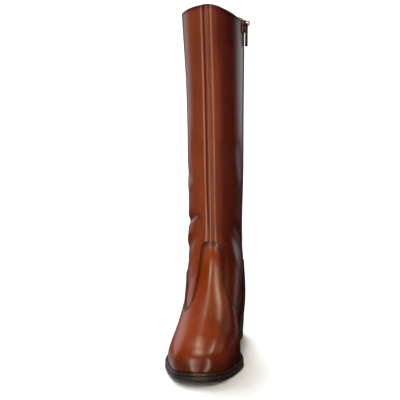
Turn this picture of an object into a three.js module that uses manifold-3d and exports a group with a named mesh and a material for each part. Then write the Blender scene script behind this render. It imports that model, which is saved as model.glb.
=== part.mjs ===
// A knee-high riding boot for the right foot, with a low block heel and a full-length inside zip.
// Millimetres, +Z up. The toe points to -Y, the heel to +Y, and the inner (medial) side is +X.
// The origin is on the floor, under the middle of the outsole.

import * as THREE from "three";
import { mergeVertices } from "three/addons/utils/BufferGeometryUtils.js";
import Module from "manifold-3d";

const wasm = await Module();
wasm.setup();

// ---------------------------------------------------------------- driving dimensions

const SOLE_LENGTH = 268;
const GAP = 0.3;                  // clearance left between pieces that meet
const WALL = 2.2;                 // upper leather and its lining together
const OUTSOLE_THICKNESS = 5.7;
const INSOLE_THICKNESS = 2.8;
const INSOLE_CLEARANCE = 0.9;
const HEEL_BREAST = 207;          // distance from the toe tip to the heel's front face
const TOP_PIECE_THICKNESS = 6;
const HEEL_TAPER = 1.8;           // how far the heel draws in between its seat and the floor
const COLLAR_DIP_MEDIAL = 13;     // how far the collar falls below its front-to-back line
const COLLAR_DIP_LATERAL = 5;
const DIP_ROWS = 5;               // rows of the last over which the collar dip fades in
const SIDE_SHARE = 0.62;          // share of a half section above its widest point
const LOWER_EXPONENT = 2.4;       // squareness of a section below its widest point

const ZIP_FOOT = 62;              // height at which the zip ends above the ankle
const ZIP_SLOT = 12;              // width of the slot in the leather
const ZIP_THICKNESS = 1.5;
const ZIP_RECESS = 0.5;           // how far the zip lies below the face of the leather
const ZIP_TOP = 402.8;
const ZIP_STEP = 16;              // spacing of the sections along the zip
const SLIDER_TOP = 402.4;         // height of the slider's upper end
const SLIDER_LENGTH = 11;
const SLIDER_WIDTH = 9.4;
const SLIDER_PLATE = 1.4;
const WEDGE_HALF = 2.3;           // half width of the wedge between the slider's plates
const WEDGE_DROP = 5;             // how far the wedge reaches down from the slider's upper end
const PIVOT_DROP = 4.2;           // from the slider's upper end down to the pull's bar
const PIVOT_HEIGHT = 1.5;         // from the slider's face out to the pull's bar
const BRIDGE_HALF = 1.1;          // half width of the bridge that holds the bar
const BRIDGE_BAR = 1.3;           // thickness of the bridge
const BRIDGE_CLEAR = 1.25;        // room inside the bridge, from the bar's middle outwards
const BRIDGE_CLEAR_LOW = 1.4;     // and down
const BRIDGE_CLEAR_HIGH = 2.2;    // and up
const PULL_LENGTH = 28.4;
const PULL_THICKNESS = 1.6;
const PULL_EYE_HALF = 3.8;
const PULL_TAB_HALF = 2.4;
const EYE_HOLE_HALF = 1.7;
const EYE_HOLE_LENGTH = 8;

// ---------------------------------------------------------------- the last

// Outline of the sole: distance from the toe tip, then the medial and lateral edges.
const OUTLINE_COLUMNS = ["along", "medial", "lateral"];
const OUTLINE = [
  [0, 0.5, 0.5],
  [2.5, 11.5, -10.5],
  [8.5, 20.5, -20],
  [20, 28.5, -28],
  [38, 35.5, -35],
  [58, 41.3, -41],
  [78, 45.8, -45.6],
  [94, 46.6, -46.6],
  [108, 44.2, -45],
  [122, 39.6, -42],
  [140, 35.2, -38],
  [160, 32.6, -33.8],
  [180, 32.8, -30],
  [202, 34.6, -27],
  [222, 35.6, -25.7],
  [242, 34.2, -24.7],
  [256.5, 28, -18.5],
  [265.5, 17, -7.5],
  [268, 4, 4],
];

// Height of the feather edge, where upper and sole meet: toe spring, ball, arch and heel seat.
// "Welt" is the thickness of the layer between upper and outsole, and "inset" how far the sole
// stands out past the upper.
const FEATHER_COLUMNS = ["along", "height", "welt", "inset"];
const FEATHER = [
  [0, 16.5, 3.7, 4.6],
  [12, 14.2, 3.7, 4.6],
  [30, 12, 3.7, 4.6],
  [48, 10.6, 3.7, 4.7],
  [64, 10, 3.7, 4.8],
  [82, 10, 3.7, 4.8],
  [98, 10, 3.7, 4.8],
  [112, 10.9, 3.7, 4.4],
  [130, 13.8, 3.5, 3.6],
  [150, 19.5, 3.1, 3],
  [170, 26.5, 2.4, 2.6],
  [190, 32.3, 1.6, 2.2],
  [206, 35, 1.0, 1.9],
  [220, 36, 1.0, 1.8],
  [245, 36.6, 1.0, 1.6],
  [268, 37, 1.0, 1.5],
];

// Sections through the upper, from the toe to the collar. Each runs from the feather edge (or,
// on the leg, from the back seam) up to the centre front. "station" is the row of OUTLINE where
// a foot section stands; the leg's sections close on the back seam instead. "Side" is the height
// of the widest point as a share of the section, and "round" its squareness above that point.
const LAST_COLUMNS = [
  "station", "frontY", "frontZ", "backY", "backZ", "frontX", "middleX",
  "widthMedial", "widthLateral", "sideMedial", "sideLateral", "roundMedial", "roundLateral",
];
const LAST = [
  [0, -129.4, 17, 132.5, 36.9, 0.5, 0.5, 0, 0, 0.30, 0.30, 2.2, 2.2],
  [1, -129.4, 25, 132.5, 36.9, 0.5, 0.5, 11, 11, 0.30, 0.30, 2.3, 2.3],
  [2, -127, 33.5, 132.5, 36.9, 0.5, 0.5, 20, 20, 0.28, 0.26, 2.4, 2.3],
  [3, -119.5, 42, 132.5, 36.9, 0.5, 0.5, 28, 27.5, 0.26, 0.18, 2.4, 2.1],
  [4, -105, 49.5, 132.5, 36.9, 0.6, 0.6, 33.6, 33.8, 0.24, 0.13, 2.4, 1.95],
  [5, -87, 56, 132.5, 36.9, 0.8, 0.8, 37.4, 38.8, 0.24, 0.10, 2.3, 1.8],
  [6, -67, 64, 132.5, 36.9, 1.0, 1.0, 38.6, 42.4, 0.26, 0.07, 2.2, 1.66],
  [7, -48, 74, 132.5, 36.9, 1.3, 1.3, 38.2, 42.8, 0.28, 0.07, 2.1, 1.58],
  [8, -31, 85, 132.5, 36.9, 1.6, 1.6, 36.8, 40.8, 0.31, 0.09, 2.0, 1.54],
  [9, -16, 97.5, 132.5, 36.9, 1.9, 1.9, 35.2, 37.8, 0.34, 0.13, 1.9, 1.54],
  [10, -4, 111, 132.5, 36.9, 2.1, 2.1, 34.5, 35.2, 0.37, 0.20, 1.85, 1.58],
  [11.1, 4, 123, 132.5, 36.9, 2.3, 2.3, 34.3, 34.0, 0.39, 0.30, 1.8, 1.66],
  [12.3, 8.6, 134, 132.5, 36.9, 2.4, 2.5, 34.3, 34.0, 0.40, 0.37, 1.8, 1.74],
  [13.6, 10.8, 144, 132.5, 36.9, 2.5, 2.9, 34.4, 34.4, 0.40, 0.40, 1.95, 1.95],
  [15, 11.4, 153, 132.5, 36.9, 2.5, 3.4, 33.8, 35.0, 0.41, 0.41, 1.95, 1.95],
  [16.5, 11.1, 160.5, 132.5, 36.9, 2.5, 3.8, 33.0, 35.6, 0.42, 0.42, 1.95, 1.95],
  [18, 10.3, 167, 132.5, 36.9, 2.5, 4.0, 32.2, 36.0, 0.43, 0.43, 1.95, 1.95],
  [18, 9.6, 173, 134, 50, 2.6, 3.8, 31.6, 36.2, 0.44, 0.44, 1.95, 1.95],
  [18, 9, 180, 133.8, 64, 2.6, 3.5, 31.2, 35.8, 0.45, 0.45, 1.95, 1.95],
  [18, 8, 190, 131.2, 84, 2.6, 3.1, 30.9, 35.2, 0.46, 0.46, 1.95, 1.95],
  [18, 6.6, 203, 126.5, 108, 2.6, 2.7, 31.0, 34.4, 0.47, 0.47, 1.95, 1.95],
  [18, 5.2, 218, 122.5, 138, 2.6, 2.5, 31.6, 33.8, 0.48, 0.48, 1.95, 1.95],
  [18, 3.6, 235, 120, 168, 2.6, 2.3, 32.6, 33.8, 0.49, 0.49, 1.95, 1.95],
  [18, 1.6, 256, 120, 202, 2.5, 2.0, 33.4, 34.0, 0.50, 0.50, 1.95, 1.95],
  [18, -0.8, 281, 122.5, 240, 2.4, 1.4, 33.8, 34.0, 0.50, 0.50, 1.95, 1.95],
  [18, -3.6, 309, 126, 280, 2.3, 0.8, 34.2, 34.4, 0.50, 0.50, 1.95, 1.95],
  [18, -6.6, 339, 129, 317, 2.0, 0, 34.9, 35.0, 0.50, 0.50, 1.95, 1.95],
  [18, -9.2, 369, 130.8, 354, 1.3, -1, 36.0, 36.0, 0.50, 0.50, 1.95, 1.95],
  [18, -11.2, 396, 131.4, 384, 0.6, -2, 36.8, 36.8, 0.50, 0.50, 1.95, 1.95],
  [18, -12.4, 415, 131.5, 400, 0.2, -2.6, 37.2, 37.2, 0.50, 0.50, 1.95, 1.95],
  [18, -13, 426, 131.4, 408, 0, -3, 37.3, 37.3, 0.50, 0.50, 1.95, 1.95],
];
const HEEL_ROW = 16;              // first row of LAST that closes on the back seam
const SEAT_BLEND = 0.5;           // rows above HEEL_ROW over which the back leaves the sole
const COLLAR_ROW = LAST.length - 1;
const HEEL_TIP = OUTLINE.length - 1;

// Seam between the foot (vamp and counter in one) and the shaft: rows of LAST at shares of a
// half section, from the centre front (0) to the back seam (1).
const SEAM_COLUMNS = ["share", "row"];
const SEAM_MEDIAL = [
  [0, 12.65], [0.1, 12.6], [0.16, 12.3], [0.195, 11.8], [0.214, 10.8], [0.233, 9.85],
  [0.265, 9.12], [0.333, 8.75], [0.423, 9.05], [0.52, 9.98], [0.6, 11.1], [0.645, 12.3],
  [0.665, 14.2], [0.69, 16.2], [0.74, 17.6], [0.8, 18.4], [0.9, 19.1], [1, 19.4],
];
const SEAM_LATERAL = [
  [0, 12.65], [0.12, 12.7], [0.17, 12.3], [0.19, 11.5], [0.197, 10.6], [0.203, 9.7],
  [0.212, 9], [0.235, 8.15], [0.262, 7.95], [0.3, 8.6], [0.35, 9.6], [0.4, 10.7], [0.45, 11.8],
  [0.5, 12.7], [0.55, 13.8], [0.6, 15.3], [0.65, 16.8], [0.72, 17.8], [0.8, 18.5], [0.9, 19.15],
  [1, 19.4],
];
const ROW_LENGTH = 14;            // typical distance between rows near that seam
const SHARE_LENGTH = 130;         // and typical length of a half section there

// ---------------------------------------------------------------- curves through the tables

// Uniform Catmull-Rom through a list of numbers, with the end points beyond it given or mirrored.
function curve(values, t, before, after) {
  const end = values.length - 1;
  const i = Math.min(Math.max(Math.floor(t), 0), end - 1);
  const f = t - i;
  const at = (k) => {
    if (k < 0) return before ?? 2 * values[0] - values[1];
    if (k > end) return after ?? 2 * values[end] - values[end - 1];
    return values[k];
  };
  const [a, b, c, d] = [at(i - 1), at(i), at(i + 1), at(i + 2)];
  return 0.5 * (2 * b + (c - a) * f + (2 * a - 5 * b + 4 * c - d) * f * f
    + (3 * b - a - 3 * c + d) * f * f * f);
}

function column(table, columns, name) {
  const index = columns.indexOf(name);
  return table.map((row) => row[index]);
}

// Place of a value in a rising list, as a whole number and a part.
function placeIn(values, value) {
  let i = 0;
  while (i < values.length - 2 && value > values[i + 1]) i += 1;
  return i + (value - values[i]) / (values[i + 1] - values[i]);
}

const outlineAlong = column(OUTLINE, OUTLINE_COLUMNS, "along");
const outlineEdge = {
  1: column(OUTLINE, OUTLINE_COLUMNS, "medial"),
  [-1]: column(OUTLINE, OUTLINE_COLUMNS, "lateral"),
};
const featherAlong = column(FEATHER, FEATHER_COLUMNS, "along");
const last = {};
for (const name of LAST_COLUMNS) last[name] = column(LAST, LAST_COLUMNS, name);

// Value of a FEATHER column at a place along the boot.
function featherValue(name, y) {
  const along = Math.min(Math.max(y + SOLE_LENGTH / 2, 0), SOLE_LENGTH);
  return curve(column(FEATHER, FEATHER_COLUMNS, name), placeIn(featherAlong, along));
}

const FEATHER_LOW = Math.min(...column(FEATHER, FEATHER_COLUMNS, "height"));

function featherZ(y) {
  return Math.max(featherValue("height", y), FEATHER_LOW);
}

// Point of the sole outline on one side at a station, moved in from the edge.
function outlinePoint(side, station, inset) {
  const edge = outlineEdge[side];
  const other = outlineEdge[-side];
  const place = (s) => new THREE.Vector2(
    curve(edge, s, other[1], other[HEEL_TIP - 1]),
    curve(outlineAlong, s, outlineAlong[1], outlineAlong[HEEL_TIP - 1]) - SOLE_LENGTH / 2,
  );
  const step = 1e-3;
  const tangent = place(Math.min(station + step, HEEL_TIP))
    .sub(place(Math.max(station - step, 0))).normalize();
  const outward = new THREE.Vector2(tangent.y, -tangent.x).multiplyScalar(side);
  return place(station).addScaledVector(outward, -inset);
}

// ---------------------------------------------------------------- the upper's own surface

// Unit normal, pointing out of the boot, of the front or back profile at a row.
function profileNormal(yName, zName, t, sign) {
  const step = 1e-2;
  const low = Math.max(t - step, 0);
  const high = Math.min(t + step, COLLAR_ROW);
  const dy = curve(last[yName], high) - curve(last[yName], low);
  const dz = curve(last[zName], high) - curve(last[zName], low);
  const size = Math.hypot(dy, dz) || 1;
  return { y: -sign * dz / size, z: sign * dy / size };
}

// A point of the upper. t runs from the toe (0) to the collar, u from the lateral feather edge
// or back seam (-1) over the centre front (0) to the medial one (1). depth is the distance in
// from the outer face.
function upperPoint(t, u, depth) {
  const side = u < 0 ? -1 : 1;
  const name = side > 0 ? "Medial" : "Lateral";
  const at = (key) => curve(last[key], t);
  const front = profileNormal("frontY", "frontZ", t, 1);
  const frontY = at("frontY") - depth * front.y;
  const frontZ = at("frontZ") - depth * front.z;
  const middleX = at("middleX");
  let footX = middleX;
  let footY;
  let footZ;
  if (t < HEEL_ROW) {
    const station = Math.min(Math.max(at("station"), 0), HEEL_TIP);
    const edgeY = outlinePoint(side, station, 0).y;
    const foot = outlinePoint(side, station, featherValue("inset", edgeY) + depth);
    footX = foot.x;
    footY = foot.y;
    footZ = featherZ(foot.y);
  } else {
    const back = profileNormal("backY", "backZ", Math.max(t, HEEL_ROW + 0.02), -1);
    footY = at("backY") - depth * back.y;
    footZ = at("backZ") - depth * back.z;
    if (t < HEEL_ROW + SEAT_BLEND) footZ = Math.max(footZ, at("backZ"));
  }
  const footWidth = Math.max(side * (footX - middleX), 0);
  const width = Math.max(at("width" + name) - depth, footWidth);
  const widest = at("side" + name);
  const a = Math.abs(u);
  let share;
  let out;
  if (a <= SIDE_SHARE) {
    const angle = (1 - a / SIDE_SHARE) * Math.PI / 2;
    const power = 2 / at("round" + name);
    share = widest + (1 - widest) * Math.sin(angle) ** power;
    out = width * Math.max(Math.cos(angle), 0) ** power;
  } else {
    const angle = Math.min((a - SIDE_SHARE) / (1 - SIDE_SHARE), 1) * Math.PI / 2;
    const power = 2 / LOWER_EXPONENT;
    share = widest * (1 - Math.sin(angle) ** power);
    out = footWidth + (width - footWidth) * Math.max(Math.cos(angle), 0) ** power;
  }
  const rise = Math.max(0, (t - COLLAR_ROW + DIP_ROWS) / DIP_ROWS);
  const ease = rise * rise * (3 - 2 * rise);
  const dip = ease * (side > 0 ? COLLAR_DIP_MEDIAL : COLLAR_DIP_LATERAL);
  return new THREE.Vector3(
    middleX + (at("frontX") - middleX) * share + side * out,
    footY + (frontY - footY) * share,
    footZ + (frontZ - footZ) * share - dip * Math.sin(Math.PI * share) ** 2,
  );
}

// ---------------------------------------------------------------- mesh helpers

function geometryFrom(points, triangles) {
  const geometry = new THREE.BufferGeometry();
  const position = new Float32Array(points.length * 3);
  points.forEach((point, i) => point.toArray(position, i * 3));
  geometry.setAttribute("position", new THREE.BufferAttribute(position, 3));
  geometry.setIndex(triangles);
  const merged = mergeVertices(geometry, 2e-3);
  const index = merged.index.array;
  const kept = [];
  for (let i = 0; i < index.length; i += 3) {
    const [a, b, c] = [index[i], index[i + 1], index[i + 2]];
    if (a !== b && b !== c && c !== a) kept.push(a, b, c);
  }
  merged.setIndex(kept);
  return merged;
}

// Joins rings of points, each with the same number of points, into one closed skin. A ring turns
// counter-clockwise when looked at from the side that the next ring is on, against the loft.
function loft(rings, capped) {
  const size = rings[0].length;
  const points = rings.flat();
  const triangles = [];
  for (let k = 0; k + 1 < rings.length; k += 1) {
    for (let i = 0; i < size; i += 1) {
      const j = (i + 1) % size;
      const [a, b, c, d] = [k * size + i, k * size + j, (k + 1) * size + j, (k + 1) * size + i];
      triangles.push(a, b, c, a, c, d);
    }
  }
  if (capped) {
    const top = (rings.length - 1) * size;
    for (let i = 1; i + 1 < size; i += 1) {
      triangles.push(0, i + 1, i);
      triangles.push(top, top + i, top + i + 1);
    }
  }
  return geometryFrom(points, triangles);
}

function solidFrom(geometry) {
  const bare = geometry.index && !geometry.attributes.normal ? geometry
    : mergeVertices(geometry.clone().deleteAttribute("normal").deleteAttribute("uv"), 1e-4);
  return new wasm.Manifold(new wasm.Mesh({
    numProp: 3,
    vertProperties: new Float32Array(bare.attributes.position.array),
    triVerts: new Uint32Array(bare.index.array),
  }));
}

function geometryOf(solid) {
  const mesh = solid.getMesh();
  const geometry = new THREE.BufferGeometry();
  geometry.setAttribute("position", new THREE.BufferAttribute(mesh.vertProperties, 3));
  geometry.setIndex(new THREE.BufferAttribute(mesh.triVerts, 1));
  return geometry;
}

// ---------------------------------------------------------------- soles and heel

const ROW_STEP = 0.5;             // spacing of the foot's sections, in rows of LAST
const LEAST_STATION_STEP = 0.15;  // closest that two sections of a sole layer come
const footRows = [];
for (let t = 0; t <= HEEL_ROW; t += ROW_STEP) footRows.push(t);
const footStations = footRows.map((t) => Math.min(Math.max(curve(last.station, t), 0), HEEL_TIP));

// Station of the outline at a distance from the toe tip.
function stationAt(along) {
  let low = 0;
  let high = HEEL_TIP;
  for (let i = 0; i < 40; i += 1) {
    const middle = (low + high) / 2;
    if (outlinePoint(1, middle, 0).y + SOLE_LENGTH / 2 < along) low = middle;
    else high = middle;
  }
  return low;
}

// Stations where the welt ends and the heel begins.
const WELT_END = HEEL_BREAST - 6;
const breastStations = [WELT_END, HEEL_BREAST].map(stationAt);

// A flat-sided layer between two stations. profile(y) lists its edge from bottom to top, each
// point with its inset from the outline and its height.
function layer(fromAlong, toAlong, profile) {
  const first = stationAt(fromAlong);
  const final = toAlong >= SOLE_LENGTH ? HEEL_TIP : stationAt(toAlong);
  const stations = [first];
  const between = [...footStations, ...breastStations].sort((a, b) => a - b);
  for (const station of between) {
    const clear = Math.min(station - stations.at(-1), final - station);
    if (clear > LEAST_STATION_STEP) stations.push(station);
  }
  stations.push(final);
  const rings = stations.map((station) => {
    const ends = [1, -1].map((side) => {
      const y = outlinePoint(side, station, 0).y;
      return profile(y).map(({ inset, z }) => {
        const place = outlinePoint(side, station, inset);
        return new THREE.Vector3(place.x, place.y, z(place.y));
      });
    });
    return [...ends[0].reverse(), ...ends[1]];
  });
  return loft(rings, true);
}

function weltTop(y) {
  return featherZ(y) - GAP;
}

function weltBottom(y) {
  return weltTop(y) - featherValue("welt", y);
}

// The outsole fills up to the welt, and behind the welt's end up to the upper.
function outsoleTop(y) {
  const past = (y + SOLE_LENGTH / 2 - WELT_END) / (HEEL_BREAST - WELT_END);
  return THREE.MathUtils.lerp(
    weltBottom(y) - GAP, weltTop(y), THREE.MathUtils.clamp(past, 0, 1),
  );
}

// Under the forefoot the outsole lies flat on the floor.
function outsoleBottom(y) {
  return Math.max(outsoleTop(y) - OUTSOLE_THICKNESS, 0);
}

function makeOutsole() {
  const edge = 0.7;
  return layer(0, SOLE_LENGTH, () => [
    { inset: 1.4, z: outsoleBottom },
    { inset: 0, z: (y) => outsoleBottom(y) + 1.6 },
    { inset: 0, z: (y) => outsoleTop(y) - edge },
    { inset: edge, z: outsoleTop },
  ]);
}

function makeWelt() {
  const share = (part) => (y) => weltBottom(y) + part * (weltTop(y) - weltBottom(y));
  return layer(0, WELT_END - 0.5, () => [
    { inset: 0.9, z: weltBottom },
    { inset: 0.25, z: share(0.25) },
    { inset: 0.25, z: share(0.7) },
    { inset: 1.1, z: weltTop },
  ]);
}

function makeHeel() {
  return layer(HEEL_BREAST, SOLE_LENGTH, () => [
    { inset: HEEL_TAPER, z: () => TOP_PIECE_THICKNESS + GAP },
    { inset: 1.2, z: () => 16 },
    { inset: 0.6, z: (y) => outsoleBottom(y) - GAP },
  ]);
}

function makeTopPiece() {
  return layer(HEEL_BREAST, SOLE_LENGTH, () => [
    { inset: HEEL_TAPER + 0.9, z: () => 0 },
    { inset: HEEL_TAPER + 0.1, z: () => 1.2 },
    { inset: HEEL_TAPER - 0.2, z: () => TOP_PIECE_THICKNESS },
  ]);
}

function makeInsole() {
  const margin = (y) => featherValue("inset", y) + WALL + INSOLE_CLEARANCE;
  return layer(0, SOLE_LENGTH, (y) => [
    { inset: margin(y), z: featherZ },
    { inset: margin(y), z: (v) => featherZ(v) + INSOLE_THICKNESS },
  ]);
}

// ---------------------------------------------------------------- upper

const UPPER_STEPS = 9;            // facets of a half section above its widest point
const LOWER_STEPS = 5;            // and below it
const SHAFT_STEPS = 18;           // facets of the shaft from its lower edge to the collar

// Shares of a half section at which it is faceted, from one to another.
function sharesBetween(from, to) {
  const whole = [];
  for (let i = 0; i <= UPPER_STEPS; i += 1) whole.push(SIDE_SHARE * i / UPPER_STEPS);
  for (let i = 1; i <= LOWER_STEPS; i += 1) {
    whole.push(SIDE_SHARE + (1 - SIDE_SHARE) * i / LOWER_STEPS);
  }
  return [from, ...whole.filter((share) => share > from + 0.01 && share < to - 0.01), to];
}

// Row of LAST that the seam between foot and shaft passes at u.
function seamRow(u) {
  const table = u < 0 ? SEAM_LATERAL : SEAM_MEDIAL;
  const shares = column(table, SEAM_COLUMNS, "share");
  return curve(column(table, SEAM_COLUMNS, "row"), placeIn(shares, Math.abs(u)));
}

const SEAM_END = seamRow(1);

// Lower edge of the shaft at u. It clears the seam more where the seam runs along the rows' way.
function shaftFoot(u) {
  const step = 0.01;
  const [low, high] = [Math.max(Math.abs(u) - step, 0), Math.min(Math.abs(u) + step, 1)];
  const side = Math.sign(u);
  const slope = (seamRow(side * high) - seamRow(side * low)) / (high - low);
  return seamRow(u) + GAP / ROW_LENGTH * Math.hypot(1, slope * ROW_LENGTH / SHARE_LENGTH);
}

// A panel of leather and lining. rowsAt(u) lists its rows from the lower edge to the upper one,
// as many at each u. openSide(row) says whether its two side edges are open at a row.
function panel(shares, rowsAt, openFoot, openSide) {
  const columns = shares.map(rowsAt);
  const across = shares.length;
  const count = columns[0].length;
  const points = [];
  for (const depth of [0, WALL]) {
    for (let k = 0; k < count; k += 1) {
      shares.forEach((u, j) => points.push(upperPoint(columns[j][k], u, depth)));
    }
  }
  const inner = count * across;
  const triangles = [];
  const quad = (a, b, c, d) => triangles.push(a, b, c, a, c, d);
  for (let k = 0; k + 1 < count; k += 1) {
    for (let j = 0; j + 1 < across; j += 1) {
      const a = k * across + j;
      const [b, c, d] = [a + 1, a + 1 + across, a + across];
      quad(a, b, c, d);
      quad(inner + a, inner + d, inner + c, inner + b);
    }
    if (openSide(columns[0][k])) {
      const lateral = k * across;
      const medial = lateral + across - 1;
      quad(lateral, lateral + across, inner + lateral + across, inner + lateral);
      quad(medial, inner + medial, inner + medial + across, medial + across);
    }
  }
  const top = (count - 1) * across;
  for (let j = 0; j + 1 < across; j += 1) {
    quad(top + j, top + j + 1, inner + top + j + 1, inner + top + j);
    if (openFoot) quad(j, inner + j, inner + j + 1, j + 1);
  }
  return solidFrom(geometryFrom(points, triangles));
}

// Vamp and counter in one piece, open along the sole and closed round the heel.
function footPanel() {
  const half = sharesBetween(0, 1);
  const shares = [...half.slice(1).reverse().map((u) => -u), ...half];
  const rows = [...footRows];
  for (let t = HEEL_ROW + 1; t < SEAM_END - ROW_STEP; t += 1) rows.push(t);
  rows.push(SEAM_END);
  return panel(shares, (u) => rows.map((t) => t * seamRow(u) / SEAM_END),
    false, (row) => row < HEEL_ROW);
}

// One side of the shaft, from the centre-front seam to the back seam.
function shaftPanel(side) {
  const frontGap = 0.002;
  const backGap = 0.0004;
  const half = sharesBetween(frontGap, 1 - backGap);
  const shares = side > 0 ? half : half.map((u) => -u).reverse();
  const steps = SHAFT_STEPS;
  return panel(shares, (u) => {
    const foot = shaftFoot(u);
    return Array.from({ length: steps + 1 }, (_, k) => (
      THREE.MathUtils.lerp(foot, COLLAR_ROW, k / steps)
    ));
  }, true, () => true);
}

// ---------------------------------------------------------------- zip

// Path of the zip on the medial side: height, then the place along the boot.
const ZIP_COLUMNS = ["height", "y"];
const ZIP_PATH = [
  [ZIP_FOOT, 80],
  [ZIP_TOP * 0.25, 74],
  [ZIP_TOP * 0.4, 66],
  [ZIP_TOP * 0.65, 60],
  [ZIP_TOP, 59],
];

function zipY(height) {
  const heights = column(ZIP_PATH, ZIP_COLUMNS, "height");
  return curve(column(ZIP_PATH, ZIP_COLUMNS, "y"), placeIn(heights, height));
}

// The value between low and high where a rising function reaches a goal.
function solve(low, high, goal, rising) {
  let [a, b] = [low, high];
  for (let i = 0; i < 30; i += 1) {
    const middle = (a + b) / 2;
    if (rising(middle) < goal) a = middle;
    else b = middle;
  }
  return (a + b) / 2;
}

// Point of the upper's outer face on the zip's path at a height.
function zipPoint(height) {
  const y = zipY(height);
  const rowAt = (u) => solve(4, COLLAR_ROW, height, (t) => upperPoint(t, u, 0).z);
  const u = solve(0.3, 0.95, y, (v) => upperPoint(rowAt(v), v, 0).y);
  return upperPoint(rowAt(u), u, 0);
}

// Upright ribbon along the zip, given by its half width and its depth inside and outside the
// face of the leather. Above the zip's top it runs straight up.
function zipRibbon(bottom, top, halfWidth, inner, outer) {
  const heights = [bottom];
  for (let z = ZIP_FOOT + ZIP_STEP; z < ZIP_TOP - 2; z += ZIP_STEP) heights.push(z);
  heights.push(ZIP_TOP);
  if (top > ZIP_TOP) heights.push(top);
  const rings = heights.map((z) => {
    const centre = zipPoint(Math.min(z, ZIP_TOP));
    return [
      new THREE.Vector3(centre.x - inner, centre.y - halfWidth, z),
      new THREE.Vector3(centre.x + outer, centre.y - halfWidth, z),
      new THREE.Vector3(centre.x + outer, centre.y + halfWidth, z),
      new THREE.Vector3(centre.x - inner, centre.y + halfWidth, z),
    ];
  });
  return loft(rings, true);
}

// The four leather pieces. The zip's slot runs down into the foot piece, and parts the medial
// side of the shaft into a front and a back.
function makeUpper() {
  const collarClearance = 30;
  const cutDepth = 9;
  const slot = solidFrom(
    zipRibbon(ZIP_FOOT, ZIP_TOP + collarClearance, ZIP_SLOT / 2, cutDepth, cutDepth),
  );
  const medial = shaftPanel(1).subtract(slot).decompose()
    .sort((a, b) => a.boundingBox().min[1] - b.boundingBox().min[1]);
  return {
    vamp_counter: footPanel().subtract(slot),
    shaft_lateral: shaftPanel(-1),
    shaft_front: medial[0],
    shaft_back: medial.at(-1),
  };
}

// ---------------------------------------------------------------- slider and pull

// These pieces are drawn in the slider's own frame: x across the zip, y up it and z outwards,
// from the middle of the tape's outer face at the slider's upper end.
const sliderFrame = new THREE.Matrix4().makeBasis(
  new THREE.Vector3(0, 1, 0), new THREE.Vector3(0, 0, 1), new THREE.Vector3(1, 0, 0),
).setPosition(zipPoint(SLIDER_TOP).sub(new THREE.Vector3(ZIP_RECESS, 0, 0)));

function plate(outline, holes, low, high) {
  const shape = new THREE.Shape(outline.map(([x, y]) => new THREE.Vector2(x, y)));
  for (const hole of holes) {
    shape.holes.push(new THREE.Path(hole.map(([x, y]) => new THREE.Vector2(x, y))));
  }
  return new THREE.ExtrudeGeometry(shape, { depth: high - low, bevelEnabled: false })
    .translate(0, 0, low);
}

// Closes half an outline, given from its foot up the right side, with its mirror image.
function mirrored(right) {
  return [...right, ...right.map(([x, y]) => [-x, y]).reverse()];
}

const FACE_TOP = GAP + SLIDER_PLATE;

// Under the slider the two tapes meet. Above its wedge they part.
function makeZipTape() {
  const halfWidth = ZIP_SLOT / 2 - GAP;
  const tape = zipRibbon(ZIP_FOOT + GAP, ZIP_TOP, halfWidth,
    ZIP_RECESS + ZIP_THICKNESS, -ZIP_RECESS);
  const notch = plate(mirrored([
    [WEDGE_HALF + GAP, -WEDGE_DROP - GAP], [WEDGE_HALF + GAP + 1, SLIDER_TOP],
  ]), [], -6, 6).applyMatrix4(sliderFrame);
  return geometryOf(solidFrom(tape).subtract(solidFrom(notch)));
}

// A face plate and a back plate either side of the tape, a wedge that joins them where the
// tapes part, and a bridge that the pull hangs on.
function makeSlider() {
  const half = SLIDER_WIDTH / 2;
  const waist = half - 0.9;
  const outline = mirrored([
    [waist - 1.3, -SLIDER_LENGTH], [waist, -SLIDER_LENGTH + 1.4],
    [half, -2.2], [half - 1.5, 0],
  ]);
  const backTop = -ZIP_THICKNESS - GAP;
  const face = plate(outline, [], GAP, FACE_TOP);
  const back = plate(outline, [], backTop - SLIDER_PLATE, backTop);
  const wedge = plate(mirrored([[WEDGE_HALF - 0.8, -WEDGE_DROP], [WEDGE_HALF, -0.6]]), [],
    backTop - SLIDER_PLATE / 2, FACE_TOP - SLIDER_PLATE / 2);
  const foot = -0.4;
  const rise = PIVOT_HEIGHT + BRIDGE_CLEAR + BRIDGE_BAR;
  const top = BRIDGE_CLEAR_HIGH;
  const low = -BRIDGE_CLEAR_LOW;
  const bridge = plate([
    [foot, low - BRIDGE_BAR], [foot, top + BRIDGE_BAR], [rise - 1, top + BRIDGE_BAR],
    [rise, top + 0.3], [rise, low - 0.3], [rise - 1, low - BRIDGE_BAR],
  ], [[
    [0.25, low], [PIVOT_HEIGHT + BRIDGE_CLEAR, low],
    [PIVOT_HEIGHT + BRIDGE_CLEAR, top], [0.25, top],
  ]], -BRIDGE_HALF, BRIDGE_HALF);
  bridge.applyMatrix4(new THREE.Matrix4().makeBasis(
    new THREE.Vector3(0, 0, 1), new THREE.Vector3(0, 1, 0), new THREE.Vector3(-1, 0, 0),
  )).translate(0, -PIVOT_DROP, FACE_TOP);
  return geometryOf([face, back, wedge, bridge].map(solidFrom)
    .reduce((whole, piece) => whole.add(piece))).applyMatrix4(sliderFrame);
}

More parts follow.
